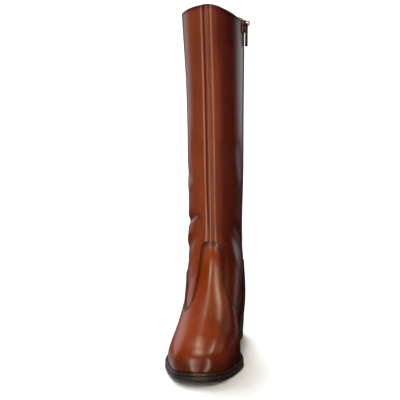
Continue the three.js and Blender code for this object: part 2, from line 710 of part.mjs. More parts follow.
// The pull hangs by the bar at its upper end: a broad eye, then a narrow tab.
function makePull() {
  const bar = PULL_THICKNESS / 2;
  const foot = bar - PULL_LENGTH;
  const outline = mirrored([
    [PULL_TAB_HALF - 0.9, foot], [PULL_TAB_HALF, foot + 0.9], [PULL_TAB_HALF - 0.3, -12.4],
    [PULL_EYE_HALF - 0.5, -10.2], [PULL_EYE_HALF, -8.4], [PULL_EYE_HALF - 0.2, -1.6],
    [PULL_EYE_HALF - 0.9, bar - 0.5], [PULL_EYE_HALF - 1.8, bar],
  ]);
  const eye = mirrored([
    [EYE_HOLE_HALF - 0.6, -EYE_HOLE_LENGTH], [EYE_HOLE_HALF, -EYE_HOLE_LENGTH + 0.8],
    [EYE_HOLE_HALF, -bar],
  ]).reverse();
  return plate(outline, [eye], -bar, bar)
    .translate(0, -PIVOT_DROP, FACE_TOP + PIVOT_HEIGHT).applyMatrix4(sliderFrame);
}

// ---------------------------------------------------------------- assembly

const COLOURS = {
  leather: { color: 0x7a3a1c, roughness: 0.28, metalness: 0 },
  rubber: { color: 0x35302c, roughness: 0.5, metalness: 0 },
  heel: { color: 0x3b3838, roughness: 0.4, metalness: 0 },
  insole: { color: 0xc39a6b, roughness: 0.7, metalness: 0 },
  tape: { color: 0x2b1a14, roughness: 0.85, metalness: 0 },
  metal: { color: 0x55504c, roughness: 0.3, metalness: 1 },
};

const boot = new THREE.Group();

function addPiece(name, geometry, colour, parent = boot) {
  const mesh = new THREE.Mesh(geometry, new THREE.MeshStandardMaterial(COLOURS[colour]));
  mesh.name = name;
  parent.add(mesh);
  return mesh;
}

addPiece("outsole", makeOutsole(), "rubber");
addPiece("welt", makeWelt(), "rubber");
addPiece("heel", makeHeel(), "heel");
addPiece("top_piece", makeTopPiece(), "rubber");
addPiece("insole", makeInsole(), "insole");
for (const [name, solid] of Object.entries(makeUpper())) {
  addPiece(name, geometryOf(solid), "leather");
}
addPiece("zip_tape", makeZipTape(), "tape");
addPiece("zip_slider", makeSlider(), "metal");
addPiece("zip_pull", makePull(), "metal");

export default boot;
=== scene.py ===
# %% [markdown]
# # A knee-high riding boot
#
# This lesson dresses a boot whose sole, heel and zip were already built as solid parts. The solid
# upper is plain, so here it is rebuilt as real leather panels: a shaft, a foot overlay with its
# arched top, seams, stitches, a lining and a zip. The script loads the solid parts as a fixed
# frame first.

# %% Load the frame
import math

import bmesh
import bpy
import numpy as np
from mathutils import Matrix, Vector
from mathutils.kdtree import KDTree


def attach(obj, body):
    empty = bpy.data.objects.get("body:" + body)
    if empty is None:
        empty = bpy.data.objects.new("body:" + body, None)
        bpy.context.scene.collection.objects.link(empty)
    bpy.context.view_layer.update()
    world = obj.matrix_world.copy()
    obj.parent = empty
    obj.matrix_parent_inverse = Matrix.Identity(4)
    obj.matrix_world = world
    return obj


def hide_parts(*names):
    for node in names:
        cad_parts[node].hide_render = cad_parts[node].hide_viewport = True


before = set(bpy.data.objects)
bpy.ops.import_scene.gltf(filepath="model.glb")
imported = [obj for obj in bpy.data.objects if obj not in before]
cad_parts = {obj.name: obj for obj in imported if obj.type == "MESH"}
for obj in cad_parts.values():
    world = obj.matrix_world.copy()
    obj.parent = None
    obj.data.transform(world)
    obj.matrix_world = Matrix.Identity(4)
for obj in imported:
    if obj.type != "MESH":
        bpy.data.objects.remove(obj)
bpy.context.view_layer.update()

MM = 0.001
SOLE_LENGTH = 268.0
TINY = 1e-9
BISECTIONS = 40

# %% [markdown]
# ## The last
#
# A shoe is designed on a last: a solid foot whose sections are known from toe to collar. The same
# short tables that shaped the solid upper are repeated here, in millimetres, because the leather
# has to follow the same surface at a much finer grain. Each table has named columns. A curve
# through a column (Catmull-Rom) gives the value between two rows.

# %% Tables of the last
OUTLINE_COLUMNS = ["along", "medial", "lateral"]
OUTLINE = np.array([
    [0, 0.5, 0.5],
    [2.5, 11.5, -10.5],
    [8.5, 20.5, -20],
    [20, 28.5, -28],
    [38, 35.5, -35],
    [58, 41.3, -41],
    [78, 45.8, -45.6],
    [94, 46.6, -46.6],
    [108, 44.2, -45],
    [122, 39.6, -42],
    [140, 35.2, -38],
    [160, 32.6, -33.8],
    [180, 32.8, -30],
    [202, 34.6, -27],
    [222, 35.6, -25.7],
    [242, 34.2, -24.7],
    [256.5, 28, -18.5],
    [265.5, 17, -7.5],
    [268, 4, 4],
])

FEATHER_COLUMNS = ["along", "height", "inset"]
FEATHER = np.array([
    [0, 16.5, 4.6],
    [12, 14.2, 4.6],
    [30, 12, 4.6],
    [48, 10.6, 4.7],
    [64, 10, 4.8],
    [82, 10, 4.8],
    [98, 10, 4.8],
    [112, 10.9, 4.4],
    [130, 13.8, 3.6],
    [150, 19.5, 3],
    [170, 26.5, 2.6],
    [190, 32.3, 2.2],
    [206, 35, 1.9],
    [220, 36, 1.8],
    [245, 36.6, 1.6],
    [268, 37, 1.5],
])

LAST_COLUMNS = [
    "station", "front_y", "front_z", "back_y", "back_z", "front_x", "middle_x",
    "width_medial", "width_lateral", "side_medial", "side_lateral",
    "round_medial", "round_lateral",
]
LAST = np.array([
    [0, -129.4, 17, 132.5, 36.9, 0.5, 0.5, 0, 0, 0.30, 0.30, 2.2, 2.2],
    [1, -129.4, 25, 132.5, 36.9, 0.5, 0.5, 11, 11, 0.30, 0.30, 2.3, 2.3],
    [2, -127, 33.5, 132.5, 36.9, 0.5, 0.5, 20, 20, 0.28, 0.26, 2.4, 2.3],
    [3, -119.5, 42, 132.5, 36.9, 0.5, 0.5, 28, 27.5, 0.26, 0.18, 2.4, 2.1],
    [4, -105, 49.5, 132.5, 36.9, 0.6, 0.6, 33.6, 33.8, 0.24, 0.13, 2.4, 1.95],
    [5, -87, 56, 132.5, 36.9, 0.8, 0.8, 37.4, 38.8, 0.24, 0.10, 2.3, 1.8],
    [6, -67, 64, 132.5, 36.9, 1.0, 1.0, 38.6, 42.4, 0.26, 0.07, 2.2, 1.66],
    [7, -48, 74, 132.5, 36.9, 1.3, 1.3, 38.2, 42.8, 0.28, 0.07, 2.1, 1.58],
    [8, -31, 85, 132.5, 36.9, 1.6, 1.6, 36.8, 40.8, 0.31, 0.09, 2.0, 1.54],
    [9, -16, 97.5, 132.5, 36.9, 1.9, 1.9, 35.2, 37.8, 0.34, 0.13, 1.9, 1.54],
    [10, -4, 111, 132.5, 36.9, 2.1, 2.1, 34.5, 35.2, 0.37, 0.20, 1.85, 1.58],
    [11.1, 4, 123, 132.5, 36.9, 2.3, 2.3, 34.3, 34.0, 0.39, 0.30, 1.8, 1.66],
    [12.3, 8.6, 134, 132.5, 36.9, 2.4, 2.5, 34.3, 34.0, 0.40, 0.37, 1.8, 1.74],
    [13.6, 10.8, 144, 132.5, 36.9, 2.5, 2.9, 34.4, 34.4, 0.40, 0.40, 1.95, 1.95],
    [15, 11.4, 153, 132.5, 36.9, 2.5, 3.4, 33.8, 35.0, 0.41, 0.41, 1.95, 1.95],
    [16.5, 11.1, 160.5, 132.5, 36.9, 2.5, 3.8, 33.0, 35.6, 0.42, 0.42, 1.95, 1.95],
    [18, 10.3, 167, 132.5, 36.9, 2.5, 4.0, 32.2, 36.0, 0.43, 0.43, 1.95, 1.95],
    [18, 9.6, 173, 134, 50, 2.6, 3.8, 31.6, 36.2, 0.44, 0.44, 1.95, 1.95],
    [18, 9, 180, 133.8, 64, 2.6, 3.5, 31.2, 35.8, 0.45, 0.45, 1.95, 1.95],
    [18, 8, 190, 131.2, 84, 2.6, 3.1, 30.9, 35.2, 0.46, 0.46, 1.95, 1.95],
    [18, 6.6, 203, 126.5, 108, 2.6, 2.7, 31.0, 34.4, 0.47, 0.47, 1.95, 1.95],
    [18, 5.2, 218, 122.5, 138, 2.6, 2.5, 31.6, 33.8, 0.48, 0.48, 1.95, 1.95],
    [18, 3.6, 235, 120, 168, 2.6, 2.3, 32.6, 33.8, 0.49, 0.49, 1.95, 1.95],
    [18, 1.6, 256, 120, 202, 2.5, 2.0, 33.4, 34.0, 0.50, 0.50, 1.95, 1.95],
    [18, -0.8, 281, 122.5, 240, 2.4, 1.4, 33.8, 34.0, 0.50, 0.50, 1.95, 1.95],
    [18, -3.6, 309, 126, 280, 2.3, 0.8, 34.2, 34.4, 0.50, 0.50, 1.95, 1.95],
    [18, -6.6, 339, 129, 317, 2.0, 0, 34.9, 35.0, 0.50, 0.50, 1.95, 1.95],
    [18, -9.2, 369, 130.8, 354, 1.3, -1, 36.0, 36.0, 0.50, 0.50, 1.95, 1.95],
    [18, -11.2, 396, 131.4, 384, 0.6, -2, 36.8, 36.8, 0.50, 0.50, 1.95, 1.95],
    [18, -12.4, 415, 131.5, 400, 0.2, -2.6, 37.2, 37.2, 0.50, 0.50, 1.95, 1.95],
    [18, -13, 426, 131.4, 408, 0, -3, 37.3, 37.3, 0.50, 0.50, 1.95, 1.95],
])
HEEL_ROW = 16
COLLAR_ROW = len(LAST) - 1
HEEL_TIP = len(OUTLINE) - 1
SIDE_SHARE = 0.62
LOWER_EXPONENT = 2.4
COLLAR_DIP = {1: 13.0, -1: 5.0}
DIP_ROWS = 5

# The seam between foot and shaft: rows at shares from the centre front (0) to the back (1).
SEAM = {
    1: [(0, 12.65), (0.1, 12.6), (0.16, 12.3), (0.195, 11.8), (0.214, 10.8), (0.233, 9.85),
        (0.265, 9.12), (0.333, 8.75), (0.423, 9.05), (0.52, 9.98), (0.6, 11.1), (0.645, 12.3),
        (0.665, 14.2), (0.69, 16.2), (0.74, 17.6), (0.8, 18.4), (0.9, 19.1), (1, 19.4)],
    -1: [(0, 12.65), (0.12, 12.7), (0.17, 12.3), (0.19, 11.5), (0.197, 10.6), (0.203, 9.7),
         (0.212, 9), (0.235, 8.15), (0.262, 7.95), (0.3, 8.6), (0.35, 9.6), (0.4, 10.7),
         (0.45, 11.8), (0.5, 12.7), (0.55, 13.8), (0.6, 15.3), (0.65, 16.8), (0.72, 17.8),
         (0.8, 18.5), (0.9, 19.15), (1, 19.4)],
}

# The zip's path on the medial side: height, then the place along the boot.
ZIP_FOOT = 62.0
ZIP_TOP = 402.8
ZIP_PATH = [(ZIP_FOOT, 80), (ZIP_TOP * 0.25, 74), (ZIP_TOP * 0.4, 66), (ZIP_TOP * 0.65, 60),
            (ZIP_TOP, 59)]
ZIP_SLOT = 12.0
print("rows of the last:", len(LAST))

# %% Curves through the tables


def ease(x, low, high):
    """Smooth step from 0 at low to 1 at high."""
    x = np.clip((np.asarray(x, float) - low) / (high - low), 0, 1)
    return x * x * (3 - 2 * x)


def curve(values, t, before=None, after=None):
    """Catmull-Rom through the values at whole numbers, read at t, which may be an array."""
    values = np.asarray(values, float)
    first = 2 * values[0] - values[1] if before is None else before
    final = 2 * values[-1] - values[-2] if after is None else after
    padded = np.concatenate([[first], values, [final]])
    t = np.asarray(t, float)
    i = np.clip(np.floor(t).astype(int), 0, len(values) - 2)
    f = t - i
    a, b, c, d = (padded[i + k] for k in range(4))
    return 0.5 * (2 * b + (c - a) * f + (2 * a - 5 * b + 4 * c - d) * f ** 2
                  + (3 * b - a - 3 * c + d) * f ** 3)


def curve_at(pairs, x):
    """The same kind of curve through (place, value) pairs, read at a place."""
    places, values = np.array(pairs, float).T
    return curve(values, np.interp(x, places, np.arange(len(places))))


def column(table, columns, name):
    return table[:, columns.index(name)]


def unit(vectors):
    size = np.linalg.norm(vectors, axis=-1, keepdims=True)
    return vectors / np.maximum(size, TINY)


def bisect(low, high, is_before):
    """Last place between low and high, which may be arrays, at which is_before holds."""
    for _ in range(BISECTIONS):
        middle = (low + high) / 2
        before = is_before(middle)
        low, high = np.where(before, middle, low), np.where(before, high, middle)
    return (low + high) / 2


def feather_value(name, y):
    along = column(FEATHER, FEATHER_COLUMNS, "along")
    t = np.interp(y + SOLE_LENGTH / 2, along, np.arange(len(along)))
    return curve(column(FEATHER, FEATHER_COLUMNS, name), t)


def feather_z(y):
    lowest = column(FEATHER, FEATHER_COLUMNS, "height").min()
    return np.maximum(feather_value("height", y), lowest)


def outline_place(side, station):
    names = ("medial", "lateral") if side > 0 else ("lateral", "medial")
    edge, other = (column(OUTLINE, OUTLINE_COLUMNS, name) for name in names)
    along = column(OUTLINE, OUTLINE_COLUMNS, "along")
    x = curve(edge, station, other[1], other[-2])
    y = curve(along, station, along[1], along[-2]) - SOLE_LENGTH / 2
    return np.stack([x, y], -1)


def outline_point(side, station, inset):
    """Point of the sole's outline on a side at a station, moved in from the edge."""
    step = 1e-3
    tangent = unit(outline_place(side, np.minimum(station + step, HEEL_TIP))
                   - outline_place(side, np.maximum(station - step, 0)))
    outward = np.stack([tangent[..., 1], -tangent[..., 0]], -1) * side
    return outline_place(side, station) - outward * np.asarray(inset)[..., None]


def half_surface(t, a, side):
    """Points of one side of the upper's outer face. a runs from the centre front (0) to the
    feather edge or back seam (1)."""
    name = "medial" if side > 0 else "lateral"

    def at(key):
        return curve(column(LAST, LAST_COLUMNS, key), t)

    station = np.clip(at("station"), 0, HEEL_TIP)
    edge_y = outline_point(side, station, np.zeros_like(t))[..., 1]
    foot = outline_point(side, station, feather_value("inset", edge_y))
    on_foot = t < HEEL_ROW
    middle = at("middle_x")
    foot_x = np.where(on_foot, foot[..., 0], middle)
    foot_y = np.where(on_foot, foot[..., 1], at("back_y"))
    foot_z = np.where(on_foot, feather_z(foot[..., 1]), at("back_z"))
    foot_width = np.maximum(side * (foot_x - middle), 0)
    width = np.maximum(at("width_" + name), foot_width)
    widest = at("side_" + name)
    upper_angle = np.clip(1 - a / SIDE_SHARE, 0, 1) * math.pi / 2
    upper_power = 2 / at("round_" + name)
    lower_angle = np.clip((a - SIDE_SHARE) / (1 - SIDE_SHARE), 0, 1) * math.pi / 2
    lower_power = 2 / LOWER_EXPONENT
    above = a <= SIDE_SHARE
    share = np.where(
        above,
        widest + (1 - widest) * np.sin(upper_angle) ** upper_power,
        widest * (1 - np.sin(lower_angle) ** lower_power),
    )
    out = np.where(
        above,
        width * np.maximum(np.cos(upper_angle), 0) ** upper_power,
        foot_width + (width - foot_width) * np.maximum(np.cos(lower_angle), 0) ** lower_power,
    )
    dip = ease(t, COLLAR_ROW - DIP_ROWS, COLLAR_ROW) * COLLAR_DIP[side]
    return np.stack([
        middle + (at("front_x") - middle) * share + side * out,
        foot_y + (at("front_y") - foot_y) * share,
        foot_z + (at("front_z") - foot_z) * share - dip * np.sin(math.pi * share) ** 2,
    ], -1)


def surface(t, u):
    """Points of the upper: u is -1 at the lateral edge, 0 at the centre front, 1 at the medial."""
    t, u = np.broadcast_arrays(np.asarray(t, float), np.asarray(u, float))
    medial = half_surface(t, np.abs(u), 1)
    lateral = half_surface(t, np.abs(u), -1)
    return np.where((u < 0)[..., None], lateral, medial)


print("collar's front peak at", surface(COLLAR_ROW, 0.0).round(1))

# %% [markdown]
# ## The skin
#
# Worn leather isn't the smooth last: it softens at the heel, folds at the ankle and dents down
# the shaft. One way is to sculpt every panel, but then vamp, shaft and lining would no longer
# agree. Instead one fine grid, the skin, holds the last's surface with every crease pushed in or
# out, and all the panels, seams and stitches are laid on it afterwards. Each crease is a path
# over the last with a width and a depth in millimetres, and fades out towards its ends.

# %% A fine grid over the last
ROWS_FINE = 20
COLUMNS_FINE = 160
HEEL_ROUNDS = 260
RIDGE_ROUNDS = 70
fine_t = np.linspace(0, COLLAR_ROW, COLLAR_ROW * ROWS_FINE + 1)
fine_u = np.linspace(-1, 1, 2 * COLUMNS_FINE + 1)
skin = surface(fine_t[:, None], fine_u[None, :])

# The bend over the heel is evened out from row to row, and the ridge of the foot across it.
heel_bend = np.exp(-((fine_t - HEEL_ROW) / 1.7) ** 2)[:, None]
heel_bend = (heel_bend * (1 - ease(np.abs(fine_u), 0.86, 0.985))[None, :])[1:-1, :, None]
for _ in range(HEEL_ROUNDS):
    skin[1:-1] += heel_bend * ((skin[:-2] + skin[2:]) / 2 - skin[1:-1])
ridge = (ease(fine_t, 1, 3) * (1 - ease(fine_t, 13, 16)))[:, None]
ridge = (ridge * (1 - ease(np.abs(fine_u), 0.10, 0.22))[None, :])[:, 1:-1, None]
for _ in range(RIDGE_ROUNDS):
    skin[:, 1:-1] += ridge * ((skin[:, :-2] + skin[:, 2:]) / 2 - skin[:, 1:-1])


def grid_normals(points):
    """Outward directions at a grid. The first rows meet in a point, so they take a later one's."""
    normals = unit(np.cross(np.gradient(points, axis=1), np.gradient(points, axis=0)))
    normals[:2] = normals[2]
    return normals


skin_normals = grid_normals(skin)
print("skin:", skin.shape, "front normal", skin_normals[400, COLUMNS_FINE].round(2))


def grid_cell(t, u):
    """The fine grid's cell that holds row t and share u, and how far into it they are."""
    a = np.clip(np.asarray(t, float), 0, COLLAR_ROW) * ROWS_FINE
    b = (np.clip(np.asarray(u, float), -1, 1) + 1) * COLUMNS_FINE
    i = np.clip(np.floor(a).astype(int), 0, skin.shape[0] - 2)
    j = np.clip(np.floor(b).astype(int), 0, skin.shape[1] - 2)
    return i, j, a - i, b - j


def weights_cubic(f):
    return [(-f + 2 * f ** 2 - f ** 3) / 2, (2 - 5 * f ** 2 + 3 * f ** 3) / 2,
            (f + 4 * f ** 2 - 3 * f ** 3) / 2, (-f ** 2 + f ** 3) / 2]


def on_skin(t, u, raised=0.0):
    """Point of the skin at row t and share u, lifted off it by some millimetres."""
    t, u, raised = np.broadcast_arrays(*(np.asarray(v, float) for v in (t, u, raised)))
    i, j, f, g = grid_cell(t, u)
    point = np.zeros(t.shape + (3,))
    for k, row_weight in enumerate(weights_cubic(f)):
        row = np.clip(i + k - 1, 0, skin.shape[0] - 1)
        for m, column_weight in enumerate(weights_cubic(g)):
            place = np.clip(j + m - 1, 0, skin.shape[1] - 1)
            point += (row_weight * column_weight)[..., None] * skin[row, place]
    return point + normal_at(t, u) * raised[..., None]


def normal_at(t, u):
    i, j, f, g = grid_cell(t, u)
    f, g = f[..., None], g[..., None]
    return unit((skin_normals[i, j] * (1 - g) + skin_normals[i, j + 1] * g) * (1 - f)
                + (skin_normals[i + 1, j] * (1 - g) + skin_normals[i + 1, j + 1] * g) * f)


# %% Creases
# Each crease: places as (row, share), width and depth in millimetres. A positive depth is a
# trough and a negative one a ridge.
CREASES = [
    ("lateral ankle fold",
     [(20.2, -0.66), (19.4, -0.50), (18.9, -0.38), (18.2, -0.27), (17.1, -0.19), (15.9, -0.14)],
     4.2, 5.0),
    ("lateral ankle roll",
     [(18.0, -0.60), (17.3, -0.44), (16.4, -0.31), (15.3, -0.20)], 6.0, -1.6),
    ("lateral upper roll", [(22.2, -0.60), (21.5, -0.45), (20.8, -0.32)], 7.0, -0.9),
    ("lateral lower fold", [(17.9, -0.62), (16.4, -0.46), (14.9, -0.31)], 5.5, 1.6),
    ("lateral back fold", [(18.8, -0.86), (18.9, -0.70), (18.4, -0.58)], 6.0, 1.4),
    ("medial upper dent", [(21.6, 0.42), (21.1, 0.34), (20.5, 0.25)], 5.5, 0.55),
    ("medial ankle fold", [(17.4, 0.22), (17.9, 0.34), (18.1, 0.46), (17.6, 0.60)], 6.5, 0.8),
    ("medial ankle roll", [(18.6, 0.24), (19.0, 0.38), (19.0, 0.52)], 7.5, -0.5),
    ("medial lower fold", [(15.2, 0.24), (16.0, 0.38), (16.2, 0.52), (15.6, 0.64)], 7.0, 0.45),
    ("medial back fold", [(18.6, 0.62), (19.2, 0.76), (19.0, 0.90)], 7.0, 1.2),
    ("lateral shaft dent", [(24.2, -0.26), (23.3, -0.28), (22.3, -0.27)], 9.0, 0.9),
    ("lateral shaft fold", [(22.6, -0.62), (22.0, -0.45), (21.4, -0.32)], 8.0, 0.9),
    ("calf hollow", [(23.6, 0.42), (22.8, 0.50), (22.0, 0.56)], 11.0, 1.0),
    ("back ankle fold", [(20.6, -0.95), (20.3, -0.80), (20.4, -0.66)], 7.0, 1.2),
    ("toe break", [(5.6, -0.34), (6.2, -0.16), (6.3, 0.05), (5.9, 0.22), (5.3, 0.36)], 6.0, 0.16),
    ("toe break behind", [(6.6, -0.30), (7.1, -0.12), (7.1, 0.08), (6.6, 0.28)], 6.0, 0.14),
]


CREASE_STEPS = 70
CREASE_FADE = 0.6
CREASE_REACH = 3.2


def crease_height(points, places, width, depth):
    """How far a crease lifts each point of a grid."""
    places = np.array(places, float)
    steps = np.linspace(0, len(places) - 1, CREASE_STEPS)
    path = on_skin(*(curve(places[:, k], steps) for k in (0, 1)))
    fade = np.sin(np.pi * np.linspace(0, 1, CREASE_STEPS)) ** CREASE_FADE
    reach = CREASE_REACH * width
    near = np.all((points > path.min(0) - reach) & (points < path.max(0) + reach), -1)
    height = np.zeros(points.shape[:-1])
    distance = np.linalg.norm(points[near][:, None, :] - path[None, :, :], axis=-1)
    nearest = distance.argmin(1)
    d = distance.min(1) / width
    height[near] = -depth * fade[nearest] * np.exp(-d * d)
    return height


lift = sum(crease_height(skin, *crease[1:]) for crease in CREASES)
skin = skin + skin_normals * lift[..., None]
skin_normals = grid_normals(skin)
print("creases:", len(CREASES), "deepest", lift.min().round(2), "highest", lift.max().round(2))

# %% [markdown]
# ## Cutting the panels
#
# A maker cuts the upper from flat leather: a foot piece with an arched top, and three shaft
# panels that meet at the centre front, at the back and at the zip. Each is made here as a
# patch of the skin with its own thickness: a grid of places on the skin, an outer height and an
# inner height. Blender's Solidify could thicken a patch too, but it can't thin an edge the way
# a skiving knife does, and here the cut edge of the foot piece has to lie over the shaft.

# %% The seam and the slot of the zip


def by_side(share, table, read):
    """Value of a table with a curve for each side, at shares that are negative on the lateral."""
    share = np.asarray(share, float)
    return np.where(share < 0, read(table[-1], np.abs(share)), read(table[1], np.abs(share)))


def seam_row(share):
    """Row of the seam between foot and shaft at a share of either side."""
    return by_side(share, SEAM, curve_at)


# How far the collar's edge dips below the last row, in rows, by share on each side.
COLLAR_TRIM = {
    -1: [(0.0, 0.0), (0.05, 0.05), (0.135, 0.18), (0.195, 0.27), (0.28, 0.40), (0.38, 0.52),
         (0.46, 0.56), (0.6, 0.56), (0.8, 0.66), (0.93, 0.74), (1.0, 0.75)],
    1: [(0.0, 0.0), (0.06, 0.05), (0.125, 0.16), (0.175, 0.31), (0.23, 0.47), (0.28, 0.58),
        (0.34, 0.66), (0.415, 0.68), (0.485, 0.67), (0.6, 0.66), (0.715, 0.68), (0.85, 0.86),
        (0.94, 0.80), (1.0, 0.75)],
}


def collar_row(share):
    """Row of the collar's edge at a share of either side."""
    return COLLAR_ROW - by_side(share, COLLAR_TRIM,
                                lambda pairs, at: np.interp(at, *np.array(pairs).T))


ZIP_SHARE_LOW, ZIP_SHARE_HIGH = 0.25, 0.97
ZIP_ROW_LOW, ZIP_ROW_HIGH = 10.0, float(COLLAR_ROW)


def zip_share(t, offset):
    """Share at which a row crosses a line beside the zip's path, offset millimetres behind."""
    t, offset = np.broadcast_arrays(np.asarray(t, float), np.asarray(offset, float))

    def is_before(share):
        point = surface(t, share)
        return point[..., 1] < curve_at(ZIP_PATH, np.maximum(point[..., 2], ZIP_FOOT)) + offset

    return bisect(np.full(t.shape, ZIP_SHARE_LOW), np.full(t.shape, ZIP_SHARE_HIGH), is_before)


def row_at_height(height):
    """Row at which the zip's path is at a height."""
    shape = np.shape(height)
    return bisect(np.full(shape, ZIP_ROW_LOW), np.full(shape, ZIP_ROW_HIGH),
                  lambda row: surface(row, zip_share(row, 0.0))[..., 2] < height)


ZIP_FOOT_ROW = float(row_at_height(ZIP_FOOT))
ZIP_SHARE = float(zip_share(ZIP_FOOT_ROW, 0.0))
SLOT_ROWS = np.linspace(ZIP_FOOT_ROW, COLLAR_ROW, 400)
print("zip from row", round(ZIP_FOOT_ROW, 2), "at share", round(ZIP_SHARE, 3))


def slot_edges(slot):
    """Shares of the slot's two edges over SLOT_ROWS, for a slot of that width."""
    middle = surface(SLOT_ROWS, zip_share(SLOT_ROWS, 0.0))[..., 2] - ZIP_FOOT
    rounded = np.sqrt(np.clip(1 - (1 - np.clip(middle / (slot / 2), 0, 1)) ** 2, 0, 1))
    half = slot / 2 * rounded
    return zip_share(SLOT_ROWS, -half), zip_share(SLOT_ROWS, half)


SLOT_EDGES = {"leather": slot_edges(ZIP_SLOT - 0.6), "lining": slot_edges(ZIP_SLOT + 6)}


def share_on_row(s, t, slot="leather"):
    """Share on the skin of a column s at row t. Columns part round the zip's slot."""
    front, back = (np.interp(t, SLOT_ROWS, edge) for edge in SLOT_EDGES[slot])
    before = s * front / ZIP_SHARE
    behind = back + (s - ZIP_SHARE) / (1 - ZIP_SHARE) * (1 - back)
    return np.where(s < 0, s, np.where(s <= ZIP_SHARE, before, behind))


# %% Making a patch into leather
SHARP_ANGLE = math.radians(38)
MERGE = 2e-6
DEGENERATE = 1e-7
COLLECTION = bpy.context.scene.collection


def linked(name, data):
    piece = bpy.data.objects.new(name, data)
    COLLECTION.objects.link(piece)
    return piece


def merge_doubles(work):
    bmesh.ops.remove_doubles(work, verts=work.verts, dist=MERGE)


def shaded_piece(name, work, mesh):
    """An object at the origin from the mesh being worked on, smooth up to its sharp edges."""
    work.to_mesh(mesh)
    work.free()
    mesh.validate()
    mesh.shade_smooth()
    mesh.set_sharp_from_angle(angle=SHARP_ANGLE)
    return linked(name, mesh)


def finish_mesh(name, vertices, faces):
    """An object from vertices in millimetres, with its doubles merged."""
    mesh = bpy.data.meshes.new(name)
    mesh.from_pydata((np.asarray(vertices) * MM).tolist(), [], [list(map(int, f)) for f in faces])
    work = bmesh.new()
    work.from_mesh(mesh)
    merge_doubles(work)
    bmesh.ops.dissolve_degenerate(work, edges=work.edges, dist=DEGENERATE)
    bmesh.ops.recalc_face_normals(work, faces=work.faces)
    return shaded_piece(name, work, mesh)


def patch(name, t, u, outer, inner, keep=None, closed_rows=None):
    """A piece of leather over the skin. t and u are grids of places, and outer and inner are its
    two faces' heights off the skin. keep says which quads exist. At closed_rows the first and the
    last column meet, and get no rim between them."""
    t, u, outer, inner = np.broadcast_arrays(*(np.asarray(v, float) for v in (t, u, outer, inner)))
    rows, columns = t.shape
    if keep is None:
        keep = np.ones((rows - 1, columns - 1), bool)
    points = np.concatenate([on_skin(t, u, face).reshape(-1, 3) for face in (outer, inner)])
    index = np.arange(rows * columns).reshape(rows, columns)
    under = rows * columns
    a, b, c, d = index[:-1, :-1], index[:-1, 1:], index[1:, 1:], index[1:, :-1]
    quads = [np.stack([a, b, c, d], -1)[keep], np.stack([a, d, c, b], -1)[keep] + under]
    padded = np.pad(keep, 1)
    across = padded[1:, 1:-1] != padded[:-1, 1:-1]
    along = padded[1:-1, 1:] != padded[1:-1, :-1]
    if closed_rows is not None:
        along[closed_rows, 0] = False
        along[closed_rows, -1] = False
    for first, second in ((index[:, :-1][across], index[:, 1:][across]),
                          (index[:-1, :][along], index[1:, :][along])):
        quads.append(np.stack([first, second, second + under, first + under], -1))
    return finish_mesh(name, points, np.concatenate(quads))


print("edges stay sharp above", round(math.degrees(SHARP_ANGLE)), "degrees")

# %% The shaft panels
SHAFT_THICKNESS = 1.25
TUCK_ROWS = 0.75
COLLAR_ROUND = 0.5
COLLAR_EASE = 0.18
START_SPREAD = 0.35
EDGE_ROWS = 1 - np.array([0.0011, 0.0005, 0.0])
BESIDE_SLOT = 1e-6
BAND_HALF = 2.25
FRONT_REACH = 0.3
# Beside the front band, on each side: distance from its edge and height of the leather there,
# and how much that height is scaled at the ankle and at the collar.
FRONT_RELIEF = {
    -1: [(-0.6, 0.0), (0.2, -0.45), (1.0, -0.60), (2.4, -0.56), (3.1, -0.45), (4.7, 0.10),
         (5.3, 0.18), (6.5, 0.12), (9.0, 0.0)],
    1: [(-0.6, 0.0), (0.1, -0.15), (0.7, -0.08), (1.7, 0.50), (2.3, 0.68), (3.0, 0.64),
        (7.8, 0.0)],
}
FRONT_GROWTH = {-1: (0.85, 1.55), 1: (1.0, 1.25)}


def band_middle(t):
    """Place of the front band's middle across the front, in millimetres from the ridge."""
    return np.interp(t, [17, 21, 25, 30], [-0.6, -1.5, -2.2, -2.4])


def front_relief(away, side):
    """Height of the leather beside the front band, from the table with its corners rounded."""
    step = 0.05
    fine = np.arange(-2.0, 12.0, step)
    height = np.interp(fine, *np.transpose(FRONT_RELIEF[side]))
    kernel = np.exp(-(np.arange(-0.8, 0.81, step) / 0.28) ** 2)
    return np.interp(away, fine, np.convolve(height, kernel / kernel.sum(), "same"))


def dense_start(count):
    """count + 1 places from 0 to 1, closer together near 0."""
    x = np.linspace(0, 1, count + 1)
    return START_SPREAD * x + (1 - START_SPREAD) * x ** 2


def shaft_panel(name, from_share, to_share, columns):
    s = from_share + (to_share - from_share) * columns
    down = seam_row(s) - TUCK_ROWS
    top = collar_row(share_on_row(s, float(COLLAR_ROW)))
    v = np.concatenate([np.linspace(0, 1, 250)[:-1], EDGE_ROWS])
    t = down[None, :] + (top - down)[None, :] * v[:, None]
    u = share_on_row(np.broadcast_to(s, t.shape), t)
    to_front = on_skin(t, u)[..., 0] - on_skin(t, np.zeros_like(u))[..., 0]
    away = np.abs(to_front - band_middle(t)) - BAND_HALF
    side = -1 if to_share < 0 else 1
    growth = np.interp(t, [20, 28], FRONT_GROWTH[side])
    outer = np.where(np.abs(u) < FRONT_REACH, growth * front_relief(away, side), 0.0)
    outer[-1] -= COLLAR_ROUND
    outer[-2] -= COLLAR_EASE
    return patch(name, t, u, outer, -SHAFT_THICKNESS)


shaft_lateral = shaft_panel("shaft_lateral_leather", 0.0, -1.0, dense_start(150))
shaft_front = shaft_panel("shaft_front_leather", 0.0, ZIP_SHARE, dense_start(110))
shaft_back = shaft_panel("shaft_back_leather", ZIP_SHARE + BESIDE_SLOT, 1.0,
                         np.linspace(0, 1, 61))
print("shaft panels:", [len(p.data.polygons) for p in (shaft_lateral, shaft_front, shaft_back)])

